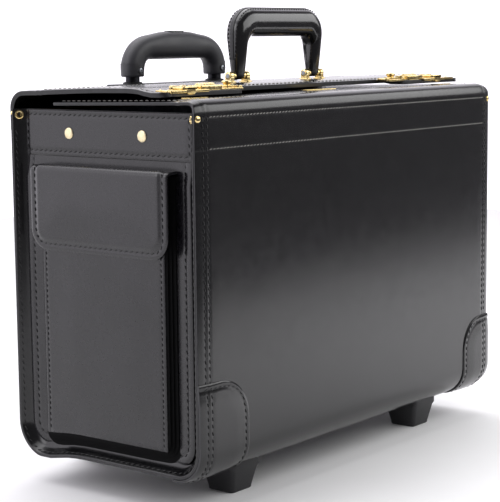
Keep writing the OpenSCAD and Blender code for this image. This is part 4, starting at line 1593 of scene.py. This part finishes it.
class CASE_OT_stage(bpy.types.Operator):
    """The pale floor, the soft studio light and the camera"""

    bl_idname = "case.stage"
    bl_label = "Stage"

    def execute(self, context):
        look = context.scene.case_stage
        forward = Vector(
            (
                math.cos(look.pitch) * math.cos(look.yaw), math.cos(look.pitch) * math.sin(look.yaw),
                -math.sin(look.pitch),
            )
        )
        right = forward.cross(Vector((0, 0, 1))).normalized()
        up = right.cross(forward)
        turned = right * math.cos(look.roll) + up * math.sin(look.roll)
        up = up * math.cos(look.roll) - right * math.sin(look.roll)
        camera = bpy.data.cameras.new("camera")
        camera.lens = look.lens
        camera.sensor_width = 36
        camera.clip_end = 100
        eye = bpy.data.objects.new("camera", camera)
        turn = Matrix((turned, up, -forward)).transposed().to_4x4()
        eye.matrix_world = Matrix.Translation(look.eye) @ turn
        context.scene.collection.objects.link(eye)
        context.scene.camera = eye
        mesh = bpy.data.meshes.new("floor")
        mesh.from_pydata(
            [(-1.5, -0.82, 0), (2.0, -0.82, 0), (2.0, 1.7, 0), (-1.5, 1.7, 0)], [], [(0, 1, 2, 3)],
        )
        # Matt white studio floor: painted board, even, with the faintest mottle
        floor_finish = plain_finish("matt_painted_floor", "#f0f0f0", "#f4f4f4", 300, 0.7, 0.8, IOR=1.45)
        mesh.materials.append(floor_finish)
        floor = bpy.data.objects.new("floor", mesh)
        context.scene.collection.objects.link(floor)
        world = bpy.data.worlds.new("studio")
        world.use_nodes = True
        tree = world.node_tree
        tree.nodes.clear()
        # A white backdrop behind the case, and a dimmer room on the other side
        way = add(tree, "ShaderNodeTexCoord").outputs["Generated"]
        across = add(tree, "ShaderNodeSeparateXYZ", {"Vector": way}).outputs["Y"]
        level = add(
            tree, "ShaderNodeMapRange",
            {
                "Value": across, "From Min": -0.12, "From Max": 0.3, "To Min": look.room,
                "To Max": look.backdrop,
            },
            interpolation_type="SMOOTHSTEP",
        ).outputs[0]
        backdrop = add(tree, "ShaderNodeBackground", {"Color": (0.99, 0.96, 1.03, 1), "Strength": level})
        add(tree, "ShaderNodeOutputWorld", {"Surface": backdrop.outputs[0]})
        context.scene.world = world
        context.scene.view_settings.view_transform = "Standard"
        for name, spot, aim, wide, tall, power in (
            ("top_softbox", (0.1, 0.6, 2.2), (0.1, 0.2, 0), 2.8, 2.0, 33),
            ("left_softbox", (-2.2, 1.0, 1.6), (0, 0, 0.2), 1.2, 1.2, 8),
            ("front_softbox", (0.55, -0.8, 0.75), (0.35, -0.2, 0), 1.7, 0.8, 11),
        ):
            light = bpy.data.lights.new(name, "AREA")
            light.shape = "RECTANGLE"
            light.size, light.size_y, light.energy = wide, tall, power
            lamp = bpy.data.objects.new(name, light)
            lamp.location = spot
            lamp.rotation_euler = (Vector(aim) - Vector(spot)).to_track_quat("-Z", "Y").to_euler()
            context.scene.collection.objects.link(lamp)
        return {"FINISHED"}


class CASE_PT_panel(bpy.types.Panel):
    """Lists the case's pieces"""

    bl_idname = "CASE_PT_panel"
    bl_label = "Rolling Pilot Case"
    bl_space_type = "VIEW_3D"
    bl_region_type = "UI"
    bl_category = "Case"

    def draw(self, context):
        for group in (context.scene.case_leather, context.scene.case_finish, context.scene.case_stage):
            box = self.layout.box()
            for key in group.__annotations__:
                box.prop(group, key)
        for operator in PIECES:
            self.layout.operator(operator.bl_idname)


PIECES = (
    CASE_OT_stage, CASE_OT_shell, CASE_OT_ends, CASE_OT_patches, CASE_OT_outer_flap, CASE_OT_pocket,
    CASE_OT_rivets, CASE_OT_locks, CASE_OT_dials, CASE_OT_carry_handle, CASE_OT_handle_mounts,
    CASE_OT_trolley_handle, CASE_OT_trolley_cover, CASE_OT_feet, CASE_OT_wheels, CASE_OT_interior,
)
GROUPS = {"case_leather": CaseLeather, "case_finish": CaseFinish, "case_stage": CaseStage}


def register():
    for item in (*GROUPS.values(), *PIECES, CASE_PT_panel):
        bpy.utils.register_class(item)
    for key, group in GROUPS.items():
        setattr(bpy.types.Scene, key, PointerProperty(type=group))


def unregister():
    for key in GROUPS:
        delattr(bpy.types.Scene, key)
    for item in (CASE_PT_panel, *reversed(PIECES), *reversed(GROUPS.values())):
        bpy.utils.unregister_class(item)


def main():
    """Builds the whole case."""
    register()
    make_finishes()
    for operator in PIECES:
        group, name = operator.bl_idname.split(".")
        getattr(getattr(bpy.ops, group), name)()


if __name__ == "__main__":
    main()
